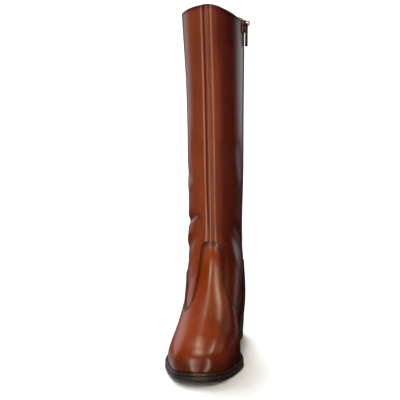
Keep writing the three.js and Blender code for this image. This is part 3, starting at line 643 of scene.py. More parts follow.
# %% The foot piece: vamp and counter in one
FOOT_RAISE = 0.85
FOOT_THICKNESS = 1.1
FOOT_FEATHER = 0.04
FOOT_ROW_SPARE = 0.02
THINNEST_EDGE = 0.25
EDGE_STEPS = np.array([0, 0.22, 0.5, 0.9, 1.5])
EDGE_DROP = np.array([0.5, 0.16, 0.05, 0.0, 0.0])
ROW_LENGTH = 14.0

lateral_shares = np.linspace(0, 1, 123)[:0:-1]
front_shares, back_shares = np.linspace(0, ZIP_SHARE, 88), np.linspace(ZIP_SHARE, 1, 42)
back_shares[0] += TINY
s = np.concatenate([-lateral_shares, front_shares, back_shares])
slot_column = len(lateral_shares) + len(front_shares) - 1
edge = seam_row(s)
body_rows = np.linspace(0, 1, 185)
t = body_rows[:, None] * (edge - EDGE_STEPS[-1] / ROW_LENGTH)[None, :]
t = np.concatenate([t, edge[None, :] - EDGE_STEPS[-2::-1, None] / ROW_LENGTH])
u = share_on_row(np.broadcast_to(s, t.shape), t)
drop = np.concatenate([np.zeros(len(body_rows)), EDGE_DROP[-2::-1]])
tuck = edge[None, :] - TUCK_ROWS
over_shaft = ease(t, tuck - 0.5, tuck - 0.1)
inner = FOOT_FEATHER + (FOOT_RAISE - FOOT_THICKNESS - FOOT_FEATHER) * (1 - over_shaft)
outer = FOOT_RAISE - np.minimum(drop, FOOT_RAISE - THINNEST_EDGE)[:, None]
keep = np.ones((t.shape[0] - 1, t.shape[1] - 1), bool)
keep[:, slot_column] = (t[1:, slot_column] <= ZIP_FOOT_ROW + FOOT_ROW_SPARE)
closed = np.flatnonzero(t[1:, 0] > HEEL_ROW)
foot_piece = patch("foot_leather", t, u, outer, inner, keep, closed)
print("foot piece:", len(foot_piece.data.polygons), "faces, slot column", slot_column)

# %% The lining
LINING_FACE = -1.35
LINING_THICKNESS = 0.85
LINING_START = 0.6
LINING_BELOW = 0.06
LINING_ROW_SPARE = 0.05
lateral_shares, front_shares = np.linspace(-1, 0, 81)[:-1], np.linspace(0, ZIP_SHARE, 54)
s = np.concatenate([lateral_shares, front_shares, np.linspace(ZIP_SHARE, 1, 32)])
slot_column = len(lateral_shares) + len(front_shares) - 1
v = np.concatenate([np.linspace(0, 0.995, 230), [1.0]])[:, None]
t = LINING_START + (collar_row(s)[None, :] - LINING_BELOW - LINING_START) * v
u = share_on_row(np.broadcast_to(s, t.shape), t, "lining")
keep = np.ones((t.shape[0] - 1, t.shape[1] - 1), bool)
keep[:, slot_column] = (t[1:, slot_column] <= ZIP_FOOT_ROW + LINING_ROW_SPARE)
closed = np.flatnonzero(t[1:, 0] > HEEL_ROW + 0.1)
lining = patch("lining", t, u, LINING_FACE, LINING_FACE - LINING_THICKNESS, keep, closed)
print("lining:", len(lining.data.polygons), "faces")

# %% [markdown]
# ## Bands over the seams
#
# The two halves of the shaft are joined at the front under a narrow raised band, and at the back
# under a wider stay. Both are strips with a rounded section. A curve with a bevel would give a
# strip too, but it would not hug the skin's creases, so they are patches like the panels.

# %% Walking over the skin
WALK_STEPS = 4


def tangents(t, u):
    step = 0.02
    along = (on_skin(t + step, u) - on_skin(t - step, u)) / (2 * step)
    across = (on_skin(t, u + step / 20) - on_skin(t, u - step / 20)) / (step / 10)
    return along, across


def move(t, u, shift):
    """Places reached from t and u by shifts in millimetres that lie in the skin."""
    along, across = tangents(t, u)
    aa, bb, ab = (along ** 2).sum(-1), (across ** 2).sum(-1), (along * across).sum(-1)
    p, q = (shift * along).sum(-1), (shift * across).sum(-1)
    size = np.maximum(aa * bb - ab ** 2, 1e-6)
    return t + (p * bb - q * ab) / size, u + (q * aa - p * ab) / size


def beside(t, u, distance):
    """The path that runs beside a path at a distance in millimetres, to the left of its way."""
    t, u = np.array(t, float), np.array(u, float)
    for _ in range(WALK_STEPS):
        left = np.cross(normal_at(t, u), unit(np.gradient(on_skin(t, u), axis=0)))
        t, u = move(t, u, left * np.reshape(distance, (-1, 1)) / WALK_STEPS)
    return t, u


def front_path(t, side):
    """Path up the front, side millimetres from the band's middle, positive to the medial."""
    return beside(t, np.zeros_like(t), -(band_middle(t) + side))


def behind_seam(t, side_mm):
    """Share of a place on a row, side_mm round from the back seam, medial positive."""
    reach = np.linalg.norm(on_skin(t, 0.995) - on_skin(t, 1.0), axis=-1) / 0.005
    u = 1 - np.abs(side_mm) / reach
    return np.where(np.asarray(side_mm) < 0, -u, u)


def joined(name, pieces):
    """One object from several, with their shared edges merged."""
    work = bmesh.new()
    for piece in pieces:
        work.from_mesh(piece.data)
        bpy.data.objects.remove(piece)
    merge_doubles(work)
    return shaded_piece(name, work, bpy.data.meshes.new(name))


print("half a millimetre beside the front:", move(20.0, 0.0, np.array([0.5, 0.0, 0.0])))

# %% The front band and the back stay
STRIP_BASE = -0.02
ROW_SPARE = 0.02
BAND_SIDES = np.array([-2.25, -2.2, -2.0, -1.6, -1.0, 0, 1.0, 1.6, 2.0, 2.2, 2.25])
BAND_HEIGHTS = np.array([0.1, 0.42, 0.62, 0.74, 0.80, 0.82, 0.80, 0.74, 0.62, 0.42, 0.1])
STAY_SIDES = 6.5 * np.array([-1, -0.985, -0.95, -0.85, -0.6, -0.3, 0,
                             0.3, 0.6, 0.85, 0.95, 0.985, 1])
STAY_HEIGHTS = np.array([0.1, 0.45, 0.68, 0.78, 0.8, 0.8, 0.8, 0.8, 0.8, 0.78, 0.68, 0.45, 0.1])

band_rows = np.linspace(float(seam_row(0)) - 0.35, COLLAR_ROW - ROW_SPARE, 260)
band_path = front_path(band_rows, 0.0)
t, u = (np.stack(places, -1) for places in zip(*(beside(*band_path, -side)
                                                 for side in BAND_SIDES)))
front_band = patch("front_band", t, u, BAND_HEIGHTS, STRIP_BASE)

# The stay is made in two halves, because shares end at the back seam. They are welded there.
stay_rows = np.linspace(19.0, float(collar_row(1.0)) - ROW_SPARE, 240)
stay_halves = []
for sign, chosen in ((-1, STAY_SIDES <= 0), (1, STAY_SIDES >= 0)):
    sides = np.where(STAY_SIDES[chosen] == 0, sign * TINY, STAY_SIDES[chosen])
    t, sides = np.meshgrid(stay_rows, sides, indexing="ij")
    stay_halves.append(patch("back_stay", t, behind_seam(t, sides), STAY_HEIGHTS[chosen],
                             STRIP_BASE))
back_stay = joined("back_stay", stay_halves)
print("front band and back stay:", [len(p.data.polygons) for p in (front_band, back_stay)])

# %% [markdown]
# ## Stitches
#
# Topstitching is what makes a seam read as sewn. Single stitches could be modelled and copied by
# hand, but there are about fourteen hundred. A Geometry Nodes tree lays them: it takes a path,
# samples it at the stitch pitch, and puts a small rounded stitch at each point, turned along the
# path and away from the leather. The path carries the direction away from the leather as an
# attribute called up. The same tree, with a box in place of the round stitch, sets the teeth of
# the zip.

# %% The node tree


def add_node(tree, kind, inputs=None, **settings):
    """A node with its settings. Each input given is linked from a socket or set to a value."""
    node = tree.nodes.new(kind)
    for label, value in settings.items():
        setattr(node, label, value)
    for label, value in (inputs or {}).items():
        if isinstance(value, bpy.types.NodeSocket):
            tree.links.new(value, node.inputs[label])
        else:
            node.inputs[label].default_value = value
    return node


def repeat_tree(name, boxed):
    """A tree that repeats a small round or boxed element along a path."""
    tree = bpy.data.node_groups.new(name, "GeometryNodeTree")
    for label, kind in (("Geometry", "Geometry"), ("Pitch", "Float"), ("Length", "Float"),
                        ("Width", "Float"), ("Height", "Float"), ("Material", "Material")):
        tree.interface.new_socket(label, in_out="INPUT", socket_type="NodeSocket" + kind)
    tree.interface.new_socket("Geometry", in_out="OUTPUT", socket_type="NodeSocketGeometry")

    def node(kind, inputs=None, **settings):
        return add_node(tree, kind, inputs, **settings).outputs

    given = node("NodeGroupInput")
    path = node("GeometryNodeMeshToCurve", {"Mesh": given["Geometry"]})
    points = node("GeometryNodeResampleCurve",
                  {"Curve": path["Curve"], "Length": given["Pitch"]}, mode="LENGTH")
    up = node("GeometryNodeInputNamedAttribute", {"Name": "up"}, data_type="FLOAT_VECTOR")
    to_up = node("FunctionNodeAlignRotationToVector", {"Vector": up["Attribute"]}, axis="Z")
    to_way = node("FunctionNodeAlignRotationToVector",
                  {"Rotation": to_up["Rotation"],
                   "Vector": node("GeometryNodeInputTangent")["Tangent"]},
                  axis="X", pivot_axis="Z")
    if boxed:
        element = node("GeometryNodeMeshCube")["Mesh"]
    else:
        ball = node("GeometryNodeMeshUVSphere", {"Segments": 8, "Rings": 5, "Radius": 0.5})
        element = node("GeometryNodeSetShadeSmooth", {"Geometry": ball["Mesh"]})["Geometry"]
    size = node("ShaderNodeCombineXYZ",
                {"X": given["Length"], "Y": given["Width"], "Z": given["Height"]})
    placed = node("GeometryNodeInstanceOnPoints",
                  {"Points": points["Curve"], "Instance": element,
                   "Rotation": to_way["Rotation"], "Scale": size["Vector"]})
    real = node("GeometryNodeRealizeInstances", {"Geometry": placed["Instances"]})
    finish = node("GeometryNodeSetMaterial",
                  {"Geometry": real["Geometry"], "Material": given["Material"]})
    node("NodeGroupOutput", {"Geometry": finish["Geometry"]})
    return tree


STITCHES = repeat_tree("Stitches on a path", False)
TEETH = repeat_tree("Teeth on a path", True)


def path_object(name, paths):
    """Loose edges along paths, each given as points and their up directions in millimetres."""
    vertices, edges, ups = [], [], []
    for points, normals in paths:
        start = len(vertices)
        vertices.extend((points * MM).tolist())
        ups.extend(normals.tolist())
        edges.extend((start + k, start + k + 1) for k in range(len(points) - 1))
    mesh = bpy.data.meshes.new(name)
    mesh.from_pydata(vertices, edges, [])
    up = mesh.attributes.new("up", "FLOAT_VECTOR", "POINT")
    up.data.foreach_set("vector", np.array(ups, np.float32).ravel())
    return linked(name, mesh)


def repeat_along(name, paths, tree, material, **sizes):
    """A plain mesh of the tree's elements along paths. Sizes are in millimetres."""
    path = path_object(name + "_path", paths)
    modifier = path.modifiers.new("Repeat", "NODES")
    modifier.node_group = tree
    given = {label: size * MM for label, size in sizes.items()} | {"Material": material}
    for item in tree.interface.items_tree:
        if item.in_out == "INPUT" and item.name in given:
            modifier[item.identifier] = given[item.name]
    path.data.update()
    bpy.context.view_layer.update()
    evaluated = path.evaluated_get(bpy.context.evaluated_depsgraph_get())
    mesh = bpy.data.meshes.new_from_object(evaluated)
    mesh.name = name
    bpy.data.objects.remove(path)
    print(name, len(mesh.polygons), "faces")
    return linked(name, mesh)


print("node trees:", STITCHES.name, "and", TEETH.name)


# %% [markdown]
# ## Finishes
#
# The leather is glazed calf: an orange brown burnished darker at toe, heel and sole, with pores
# fine enough to soften the shine but not to show as spots. One shader group makes that grain for
# the upper, the lining and the sock, each with its own values. Another makes rubbed spots and
# dust for the sole, the heel and the metal.

# %% Shader groups
FLOAT = "NodeSocketFloat"


def shader_group(name, inputs, outputs):
    """A node group with a Vector input, float inputs with these values, and float outputs."""
    tree = bpy.data.node_groups.new(name, "ShaderNodeTree")
    tree.interface.new_socket("Vector", in_out="INPUT", socket_type="NodeSocketVector")
    for label, value in inputs.items():
        socket = tree.interface.new_socket(label, in_out="INPUT", socket_type=FLOAT)
        socket.default_value = value
    for label in outputs:
        tree.interface.new_socket(label, in_out="OUTPUT", socket_type=FLOAT)
    return tree, add_node(tree, "NodeGroupInput").outputs


def noise(tree, vector, scale, detail, rough=0.55):
    return add_node(tree, "ShaderNodeTexNoise", {
        "Vector": vector, "Scale": scale, "Detail": detail, "Roughness": rough}).outputs["Fac"]


def maths(tree, operation, *values, clamp=False):
    return add_node(tree, "ShaderNodeMath", dict(enumerate(values)), operation=operation,
                    use_clamp=clamp).outputs[0]


def spread(tree, value, low, high, to_low=0.0, to_high=1.0):
    """The value moved smoothly from the range low to high to another range."""
    return add_node(tree, "ShaderNodeMapRange", {
        "Value": value, "From Min": low, "From Max": high, "To Min": to_low, "To Max": to_high,
    }, interpolation_type="SMOOTHSTEP").outputs["Result"]


def mixed(tree, mask, first, second):
    """Colour from first to second by a mask. A colour may be a tuple or a socket."""
    node = add_node(tree, "ShaderNodeMix", {"Factor": mask}, data_type="RGBA")
    for socket, colour in zip((s for s in node.inputs if s.type == "RGBA"), (first, second)):
        if isinstance(colour, tuple):
            socket.default_value = (*colour, 1.0)
        else:
            tree.links.new(colour, socket)
    return next(s for s in node.outputs if s.type == "RGBA")


def make_grain():
    """Leather grain: pores and fine folds for bump, and a slow change of tone."""
    tree, given = shader_group("Leather grain",
                               {"Pore Scale": 1500.0, "Fold Scale": 260.0, "Tone Scale": 22.0},
                               ["Height", "Tone", "Fine"])
    place = given["Vector"]
    pores = add_node(tree, "ShaderNodeTexVoronoi",
                     {"Vector": place, "Scale": given["Pore Scale"]}, feature="F1")
    pore = spread(tree, pores.outputs["Distance"], 0.05, 0.55)
    folds = noise(tree, place, given["Fold Scale"], 4.0, 0.6)
    add_node(tree, "NodeGroupOutput", {
        "Height": maths(tree, "ADD", maths(tree, "MULTIPLY", pore, 0.45),
                        maths(tree, "MULTIPLY", folds, 0.8)),
        "Tone": noise(tree, place, given["Tone Scale"], 3.0, 0.5),
        "Fine": folds,
    })
    return tree


def make_wear():
    """Rubbed spots and dust in patches."""
    tree, given = shader_group("Rubbed and dusty", {"Scale": 90.0, "Low": 0.5, "High": 0.75},
                               ["Mask", "Fine"])
    coarse = noise(tree, given["Vector"], given["Scale"], 5.0, 0.62)
    add_node(tree, "NodeGroupOutput", {
        "Mask": spread(tree, coarse, given["Low"], given["High"]),
        "Fine": noise(tree, given["Vector"], 1100.0, 3.0, 0.6),
    })
    return tree


GRAIN = make_grain()
WEAR = make_wear()
print("shader groups:", GRAIN.name, "and", WEAR.name)

# %% Materials


def new_material(name, roughness, **constants):
    """A material with its shader, and its object coordinates. Constants sit on the sockets."""
    material = bpy.data.materials.new(name)
    material.use_nodes = True
    tree = material.node_tree
    shader = tree.nodes["Principled BSDF"]
    shader.inputs["Roughness"].default_value = roughness
    for label, value in constants.items():
        shader.inputs[label.replace("_", " ").title().replace("Ior", "IOR")].default_value = value
    return material, tree, shader, add_node(tree, "ShaderNodeTexCoord").outputs["Object"]


def use_group(tree, group, vector, **values):
    given = {label.replace("_", " ").title(): value for label, value in values.items()}
    return add_node(tree, "ShaderNodeGroup", {"Vector": vector, **given},
                    node_tree=group).outputs


def attribute(tree, name):
    return add_node(tree, "ShaderNodeAttribute", attribute_name=name).outputs["Fac"]


def dress_shader(tree, shader, colour, roughness, height, strength, distance):
    """Links a colour, a roughness if it isn't None, and a bump from a height to a shader."""
    tree.links.new(colour, shader.inputs["Base Color"])
    if roughness:
        tree.links.new(roughness, shader.inputs["Roughness"])
    bump = add_node(tree, "ShaderNodeBump",
                    {"Strength": strength, "Distance": distance, "Height": height})
    tree.links.new(bump.outputs["Normal"], shader.inputs["Normal"])


# The mid and dark browns are also the colours of the painted shade on the medial side and in the
# groove beside the front band.
LEATHER_LIGHT = (0.205, 0.0300, 0.0004)
LEATHER_MID = (0.088, 0.0066, 0.0001)
LEATHER_DARK = (0.035, 0.0028, 0.0003)
EDGE_DARK = (0.016, 0.006, 0.004)
# A glaze smoother than this would show its pores as specks.
GLAZE_ROUGH = 0.276


def upper_leather():
    material, tree, shader, place = new_material(
        "glazed calf", 0.28, specular_ior_level=0.85)
    grain = use_group(tree, GRAIN, place)
    tone = spread(tree, grain["Tone"], 0.25, 0.75, -0.10, 0.10)
    # The vertex number read here holds real burnish and also painted shade on the medial side and
    # in the groove beside the front band.
    shade = maths(tree, "ADD", attribute(tree, "burnish_and_shade"), tone, clamp=True)
    warm = mixed(tree, spread(tree, shade, 0.0, 0.5), LEATHER_LIGHT, LEATHER_MID)
    colour = mixed(tree, spread(tree, shade, 0.5, 1.0), warm, LEATHER_DARK)
    colour = mixed(tree, attribute(tree, "cut"), colour, EDGE_DARK)
    rough = maths(tree, "ADD", GLAZE_ROUGH, maths(tree, "MULTIPLY", grain["Fine"], 0.012))
    rough = maths(tree, "ADD", rough, maths(tree, "MULTIPLY", attribute(tree, "cut"), 0.3))
    dress_shader(tree, shader, colour, rough, grain["Height"], 0.03, 0.0004)
    return material


def plain_leather(name, colour, second):
    material, tree, shader, place = new_material(name, 0.6)
    grain = use_group(tree, GRAIN, place, pore_scale=900.0, fold_scale=180.0, tone_scale=30.0)
    tinted = mixed(tree, spread(tree, grain["Tone"], 0.3, 0.75), colour, second)
    dress_shader(tree, shader, tinted, spread(tree, grain["Fine"], 0.2, 0.8, 0.5, 0.72),
                 grain["Height"], 0.35, 0.0005)
    return material


def worn_material(name, colour, dusty, low, high, rough_low, rough_high, bumpy, **constants):
    material, tree, shader, place = new_material(name, rough_low, **constants)
    wear = use_group(tree, WEAR, place, low=low, high=high)
    dress_shader(tree, shader, mixed(tree, wear["Mask"], colour, dusty),
                 spread(tree, wear["Fine"], 0.25, 0.75, rough_low, rough_high),
                 wear["Fine"], bumpy, 0.0003)
    return material


def tape_fabric():
    material, tree, shader, place = new_material("woven tape", 0.85)
    ribs = add_node(tree, "ShaderNodeTexWave",
                    {"Vector": place, "Scale": 330.0, "Distortion": 0.4},
                    wave_type="BANDS", bands_direction="Z").outputs["Fac"]
    grain = use_group(tree, WEAR, place, scale=400.0)
    mask = spread(tree, maths(tree, "MULTIPLY", ribs, grain["Fine"]), 0.05, 0.5)
    colour = mixed(tree, mask, (0.010, 0.005, 0.004), (0.045, 0.024, 0.017))
    dress_shader(tree, shader, colour, None, ribs, 0.6, 0.0003)
    return material


def thread_material():
    material, tree, shader, place = new_material("waxed thread", 0.6, specular_ior_level=0.2)
    fine = noise(tree, place, 2600.0, 2.0)
    mask = spread(tree, fine, 0.3, 0.7)
    colour = mixed(tree, mask, (0.008, 0.003, 0.003), (0.026, 0.012, 0.010))
    dress_shader(tree, shader, colour, spread(tree, fine, 0.3, 0.7, 0.4, 0.62), fine, 0.4, 0.0001)
    return material


CALF = upper_leather()
LINING = plain_leather("lining leather", (0.42, 0.25, 0.13), (0.52, 0.33, 0.18))
SOCK = plain_leather("sock leather", (0.36, 0.20, 0.10), (0.50, 0.31, 0.17))
WELT = worn_material("welt rubber", (0.022, 0.014, 0.011), (0.06, 0.045, 0.036), 0.52, 0.85,
                     0.29, 0.42, 0.3, specular_ior_level=0.8)
SOLE = worn_material("sole rubber", (0.026, 0.018, 0.014), (0.070, 0.054, 0.044), 0.5, 0.85,
                     0.38, 0.56, 0.4)
HEEL = worn_material("lacquered heel", (0.030, 0.024, 0.023), (0.052, 0.045, 0.043), 0.45, 0.9,
                     0.22, 0.34, 0.15, coat_weight=0.4, coat_roughness=0.15)
GUNMETAL = worn_material("gunmetal", (0.014, 0.009, 0.007), (0.050, 0.038, 0.032), 0.5, 0.85,
                         0.34, 0.46, 0.12, metallic=0.2)
TAPE = tape_fabric()
THREAD = thread_material()


def dress(piece, material, body="boot"):
    piece.data.materials.clear()
    piece.data.materials.append(material)
    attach(piece, body)


print("materials:", len(bpy.data.materials))

# %% [markdown]
# ## Burnish, painted shade and cut edges
#
# The colour changes over the boot: burnished at toe and heel, along the sole and the cut edges,
# and down the back. Painted shade darkens the medial side, and with some burnish the groove
# beside the front band. The front of the shaft and the vamp stay lighter. That could be painted
# as an image, but it follows the last, so each vertex gets a number from where it lies, for
# burnish and painted shade. A second number, cut, marks the raw dark edges of the panels.

# %% Write the attributes
GROOVE_MIDDLE = 1.5
CUT_BURNISH = 0.30
GROOVE_SHADE_AND_BURNISH = 0.35


def write_attribute(piece, name, values):
    attribute_data = piece.data.attributes.new(name, "FLOAT", "POINT")
    attribute_data.data.foreach_set("value", np.asarray(values, np.float32))


def vertex_places(piece):
    co = np.zeros(len(piece.data.vertices) * 3, np.float32)
    piece.data.vertices.foreach_get("co", co)
    return co.reshape(-1, 3).astype(float) / MM


def burnish_and_shade_at(p):
    """0 is the lightest orange, 1 the darkest brown. Toe, heel and sole are burnished, and the
    medial front and foot get painted shade.
    """
    x, y, z = p.T
    toe = 1 - ease(y, -134, -96)
    heel = ease(y, 96, 128) * (1 - ease(z, 60, 130))
    low = 1 - ease(z - feather_z(y), 1.5, 20)
    # Painted shade: the medial front and the medial side of the foot are darkened as if shaded.
    medial_front_shade = ease(x, 5, 26) * ease(z, 70, 130) * (1 - ease(y, 52, 90))
    lateral_side = ease(-x, 24, 34) * ease(z, 95, 150)
    shaft_back = ease(y, 60, 120) * ease(z, 70, 140)
    upper_shaft = ease(z, 250, 420)
    medial_foot_shade = ease(x, 16, 34) * ease(y, -118, -80) * (1 - ease(z, 70, 130))
    return np.clip(0.12 + 0.14 * toe + 0.55 * heel + 0.27 * low + 0.60 * medial_front_shade
                   + 0.50 * medial_foot_shade + 0.18 * lateral_side + 0.30 * shaft_back
                   + 0.06 * upper_shaft, 0, 1)


def distance_to(places, path):
    """Distance in millimetres from each place to the nearest point of a path."""
    tree = KDTree(len(path))
    for k, point in enumerate(path):
        tree.insert(point, k)
    tree.balance()
    return np.array([tree.find(place)[2] for place in places])


shares = np.linspace(-1, 1, 900)
CUT_LINES = {
    "collar": on_skin(collar_row(shares), share_on_row(shares, collar_row(shares))),
    "foot": on_skin(seam_row(shares), share_on_row(shares, seam_row(shares)), FOOT_RAISE / 2),
}
groove_rows = np.linspace(15.0, COLLAR_ROW, 500)
GROOVE_LINE = on_skin(*front_path(groove_rows, -BAND_HALF - GROOVE_MIDDLE), -0.5)


def finish_leather(piece, cut_line=None, reach=1.0):
    """Burnish and painted shade everywhere, a dark cut edge along a line, and painted shade with
    some burnish in the groove beside the band.
    """
    places = vertex_places(piece)
    burnish_and_shade = burnish_and_shade_at(places)
    cut = np.zeros(len(places))
    if cut_line:
        away = distance_to(places, CUT_LINES[cut_line])
        cut = 1 - ease(away, reach * 0.5, reach * 1.4)
        burnish_and_shade = burnish_and_shade + CUT_BURNISH * (1 - ease(away, 1.0, 7.0))
    if cut_line == "collar":
        # The groove beside the front band is darkened by painted shade, with some burnish.
        groove = 1 - ease(distance_to(places, GROOVE_LINE), 0.6, 1.5)
        burnish_and_shade = np.clip(burnish_and_shade + GROOVE_SHADE_AND_BURNISH * groove, 0, 1)
    write_attribute(piece, "burnish_and_shade", burnish_and_shade)
    write_attribute(piece, "cut", cut)


print("burnish at the toe cap:", burnish_and_shade_at(np.array([[0, -125, 30.0]])).round(2))

# %% Dress the panels
finish_leather(foot_piece, "foot", 0.6)
for panel in (shaft_lateral, shaft_front, shaft_back, front_band, back_stay):
    finish_leather(panel, "collar")
for panel in (shaft_lateral, shaft_front, shaft_back, foot_piece, front_band, back_stay):
    dress(panel, CALF)
dress(lining, LINING)
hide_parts("vamp_counter")
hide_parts("shaft_lateral")
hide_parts("shaft_front")
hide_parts("shaft_back")
print("dressed panels and lining, with", len(CALF.node_tree.nodes), "shader nodes in the calf")

# %% Rows of stitches
STITCH = dict(Pitch=2.8, Length=2.3, Width=1.15, Height=0.8)
FINE_STITCH = dict(Pitch=2.6, Length=2.05, Width=0.95, Height=0.7)
PATH_SPACING = 1.0
FOOT_ROW_DROPS = (1.7, 4.6)
COLLAR_DROP = 2.4
COLLAR_ENDS = 3.2


def stitch_path(t, u, raised):
    """Points and up directions of a path of stitches that height off the skin."""
    return on_skin(t, u, raised), normal_at(t, u)


def lengths_along(t, u):
    """Millimetres walked from the start of a path to each of its places."""
    return np.concatenate([[0], np.cumsum(np.linalg.norm(np.diff(on_skin(t, u), axis=0), axis=1))])


def even_path(t, u):
    """The same path with its places evenly spaced."""
    along = lengths_along(t, u)
    goal = np.linspace(0, along[-1], max(int(along[-1] / PATH_SPACING), 4))
    return np.interp(goal, along, t), np.interp(goal, along, u)


def trimmed(t, u, start, end):
    """The path without its first and last millimetres."""
    along = lengths_along(t, u)
    kept = (along >= start) & (along <= along[-1] - end)
    return t[kept], u[kept]


def row_beside_edge(edge_row, shares, drop):
    """Path drop millimetres inside an edge of the leather that lies at a row for each share."""
    t = edge_row(shares)
    return beside(*even_path(t, share_on_row(shares, t)), -drop)


# Each of the foot piece's rows runs from the back seam along the lateral side and round the
# front to the zip, and goes on behind the zip to the back seam.
before_zip = np.concatenate([np.linspace(-1, 0, 500)[:-1], np.linspace(0, ZIP_SHARE, 360)])
behind_zip = np.linspace(ZIP_SHARE + BESIDE_SLOT, 1, 200)
foot_rows = []
for drop in FOOT_ROW_DROPS:
    near_zip = drop + 1.2
    for shares, start, end in ((before_zip, 2, near_zip), (behind_zip, near_zip, 2)):
        t, u = trimmed(*row_beside_edge(seam_row, shares, drop), start, end)
        foot_rows.append(stitch_path(t, u, FOOT_RAISE + 0.08))
foot_stitches = repeat_along("foot_stitches", foot_rows, STITCHES, THREAD, **STITCH)

collar_rows = []
for shares in (np.linspace(-1, 0, 300), np.linspace(0, ZIP_SHARE, 200),
               np.linspace(ZIP_SHARE + BESIDE_SLOT, 1, 120)):
    t, u = trimmed(*row_beside_edge(collar_row, shares, COLLAR_DROP), COLLAR_ENDS, COLLAR_ENDS)
    collar_rows.append(stitch_path(t, u, 0.05))
collar_stitches = repeat_along("collar_stitches", collar_rows, STITCHES, THREAD, **FINE_STITCH)

t = np.linspace(float(seam_row(0)) + 0.12, COLLAR_ROW - 0.3, 400)
front_row = stitch_path(*even_path(*front_path(t, 0.7)), 0.86)
front_stitches = repeat_along("front_stitches", [front_row], STITCHES, THREAD, **FINE_STITCH)

t = np.linspace(22.2, float(collar_row(-0.44)) - 0.2, 300)
side_seam = even_path(t, np.interp(t, [22, 30], [-0.47, -0.44]))
side_rows = [stitch_path(*beside(*side_seam, shift), 0.06) for shift in (-1.1, 1.1)]
side_stitches = repeat_along("side_seam_stitches", side_rows, STITCHES, THREAD, **FINE_STITCH)

t = np.linspace(19.9, float(collar_row(1.0)) - 0.3, 300)
back_rows = [stitch_path(*even_path(t, behind_seam(t, np.full(t.shape, side))), 0.84)
             for side in (-4.6, 4.6)]
back_stitches = repeat_along("back_stitches", back_rows, STITCHES, THREAD, **FINE_STITCH)

t = np.linspace(17.6, float(collar_row(ZIP_SHARE)) - 0.12, 400)
zip_rows = [stitch_path(*even_path(t, zip_share(t, side * (ZIP_SLOT / 2 + 1.8))), 0.05)
            for side in (-1, 1)]
zip_stitches = repeat_along("zip_stitches", zip_rows, STITCHES, THREAD, **FINE_STITCH)
for piece in (foot_stitches, collar_stitches, front_stitches, side_stitches, back_stitches,
              zip_stitches):
    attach(piece, "boot")

# %% [markdown]
# ## Sole, welt and heel
#
# Each layer of the bottom follows the same outline at its own inset and height. Cutting them
# from boards with booleans would give facets and ragged corners. A ring of section points for
# each of many stations along the outline gives smooth sides, and a profile with a few more
# points gives the layer its rounded edges and grooves.

# %% Layers of the bottom
SOLE_GAP = 0.3
OUTSOLE_THICKNESS = 5.7
HEEL_BREAST = 207.0
WELT_END = 201.0
TOP_PIECE_THICKNESS = 6.0
END_EASE = 1.25
WELT_LAYER = [(0, 3.7), (112, 3.7), (130, 3.5), (150, 3.1), (170, 2.4), (190, 1.6), (206, 1.0),
              (268, 1.0)]


def station_at(along):
    """Station of the outline at a distance from the toe."""
    return float(bisect(0.0, float(HEEL_TIP), lambda station: outline_point(
        1, station, 0.0)[1] + SOLE_LENGTH / 2 < along))


def welt_top(y):
    return feather_z(y) - SOLE_GAP


def welt_bottom(y):
    return welt_top(y) - np.interp(y + SOLE_LENGTH / 2, *np.array(WELT_LAYER).T)


def outsole_top(y):
    past = np.clip((y + SOLE_LENGTH / 2 - WELT_END) / (HEEL_BREAST - WELT_END), 0, 1)
    return welt_bottom(y) - SOLE_GAP + (welt_top(y) - welt_bottom(y) + SOLE_GAP) * past


def outsole_bottom(y):
    return np.maximum(outsole_top(y) - OUTSOLE_THICKNESS, 0)


def above(surface_height, lift):
    """The height function of a face, lifted."""
    return lambda y: surface_height(y) + lift


def between(low, high, part):
    """A height function some part of the way from one face to another."""
    return lambda y: low(y) + part * (high(y) - low(y))


def sole_layer(name, start, end, profile, count=170):
    """A flat layer between two distances from the toe, with its ends closed. profile lists
    (inset, height) from the lower edge to the upper one. A height is a function of y."""
    first = station_at(start)
    final = float(HEEL_TIP) if end >= SOLE_LENGTH else station_at(end)
    places = np.linspace(0, 1, count)
    if start <= 0:
        places = places ** END_EASE
    if end >= SOLE_LENGTH:
        places = 1 - (1 - places) ** END_EASE
    stations = first + (final - first) * places
    rings = []
    for side in (1, -1):
        edge = []
        for inset, height in profile:
            xy = outline_point(side, stations, np.full(count, float(inset)))
            edge.append(np.column_stack([xy, height(xy[:, 1])]))
        rings.append(np.stack(edge, 1))
    ring = np.concatenate([rings[0][:, ::-1], rings[1]], 1)
    index = np.arange(count * ring.shape[1]).reshape(count, -1)
    following = np.roll(index, -1, 1)
    faces = np.stack([index[:-1], following[:-1], following[1:], index[1:]], -1).reshape(-1, 4)
    faces = faces.tolist() + [index[0, ::-1].tolist(), index[-1].tolist()]
    return finish_mesh(name, ring.reshape(-1, 3), faces)


outsole = sole_layer("sole", 0, SOLE_LENGTH, [
    (2.2, outsole_bottom), (0.9, above(outsole_bottom, 0.35)),
    (0.25, above(outsole_bottom, 0.95)), (0.0, above(outsole_bottom, 1.8)),
    (0.0, above(outsole_top, -1.2)), (0.15, above(outsole_top, -0.6)),
    (0.55, above(outsole_top, -0.15)), (1.2, outsole_top),
])
welt = sole_layer("welt_strip", 0, WELT_END - 0.5, [
    *((inset, between(welt_bottom, welt_top, part)) for inset, part in (
        (1.3, 0), (0.7, 0.1), (0.32, 0.28), (0.22, 0.5), (0.32, 0.72), (0.7, 0.9))),
    (1.3, welt_top), (2.9, welt_top), (3.3, above(welt_top, -0.35)),
    (3.7, welt_top), (5.2, welt_top),
])

# The heel is a stack of lifts that tapers towards the floor, with a groove between two lifts.
LIFTS = 5
GROOVE = 0.14
FLOOR_INSET = 1.8
TAPER = 1.2
TAPER_RATE = 1.4


def lift_bottom(y):
    return TOP_PIECE_THICKNESS + SOLE_GAP + 0 * y


def heel_step(lift, part):
    """Inset and height at a part of a lift."""
    up = (lift + part) / LIFTS
    inset = FLOOR_INSET - TAPER * min(1, up * TAPER_RATE)
    return inset, between(lift_bottom, above(outsole_bottom, -SOLE_GAP), up)


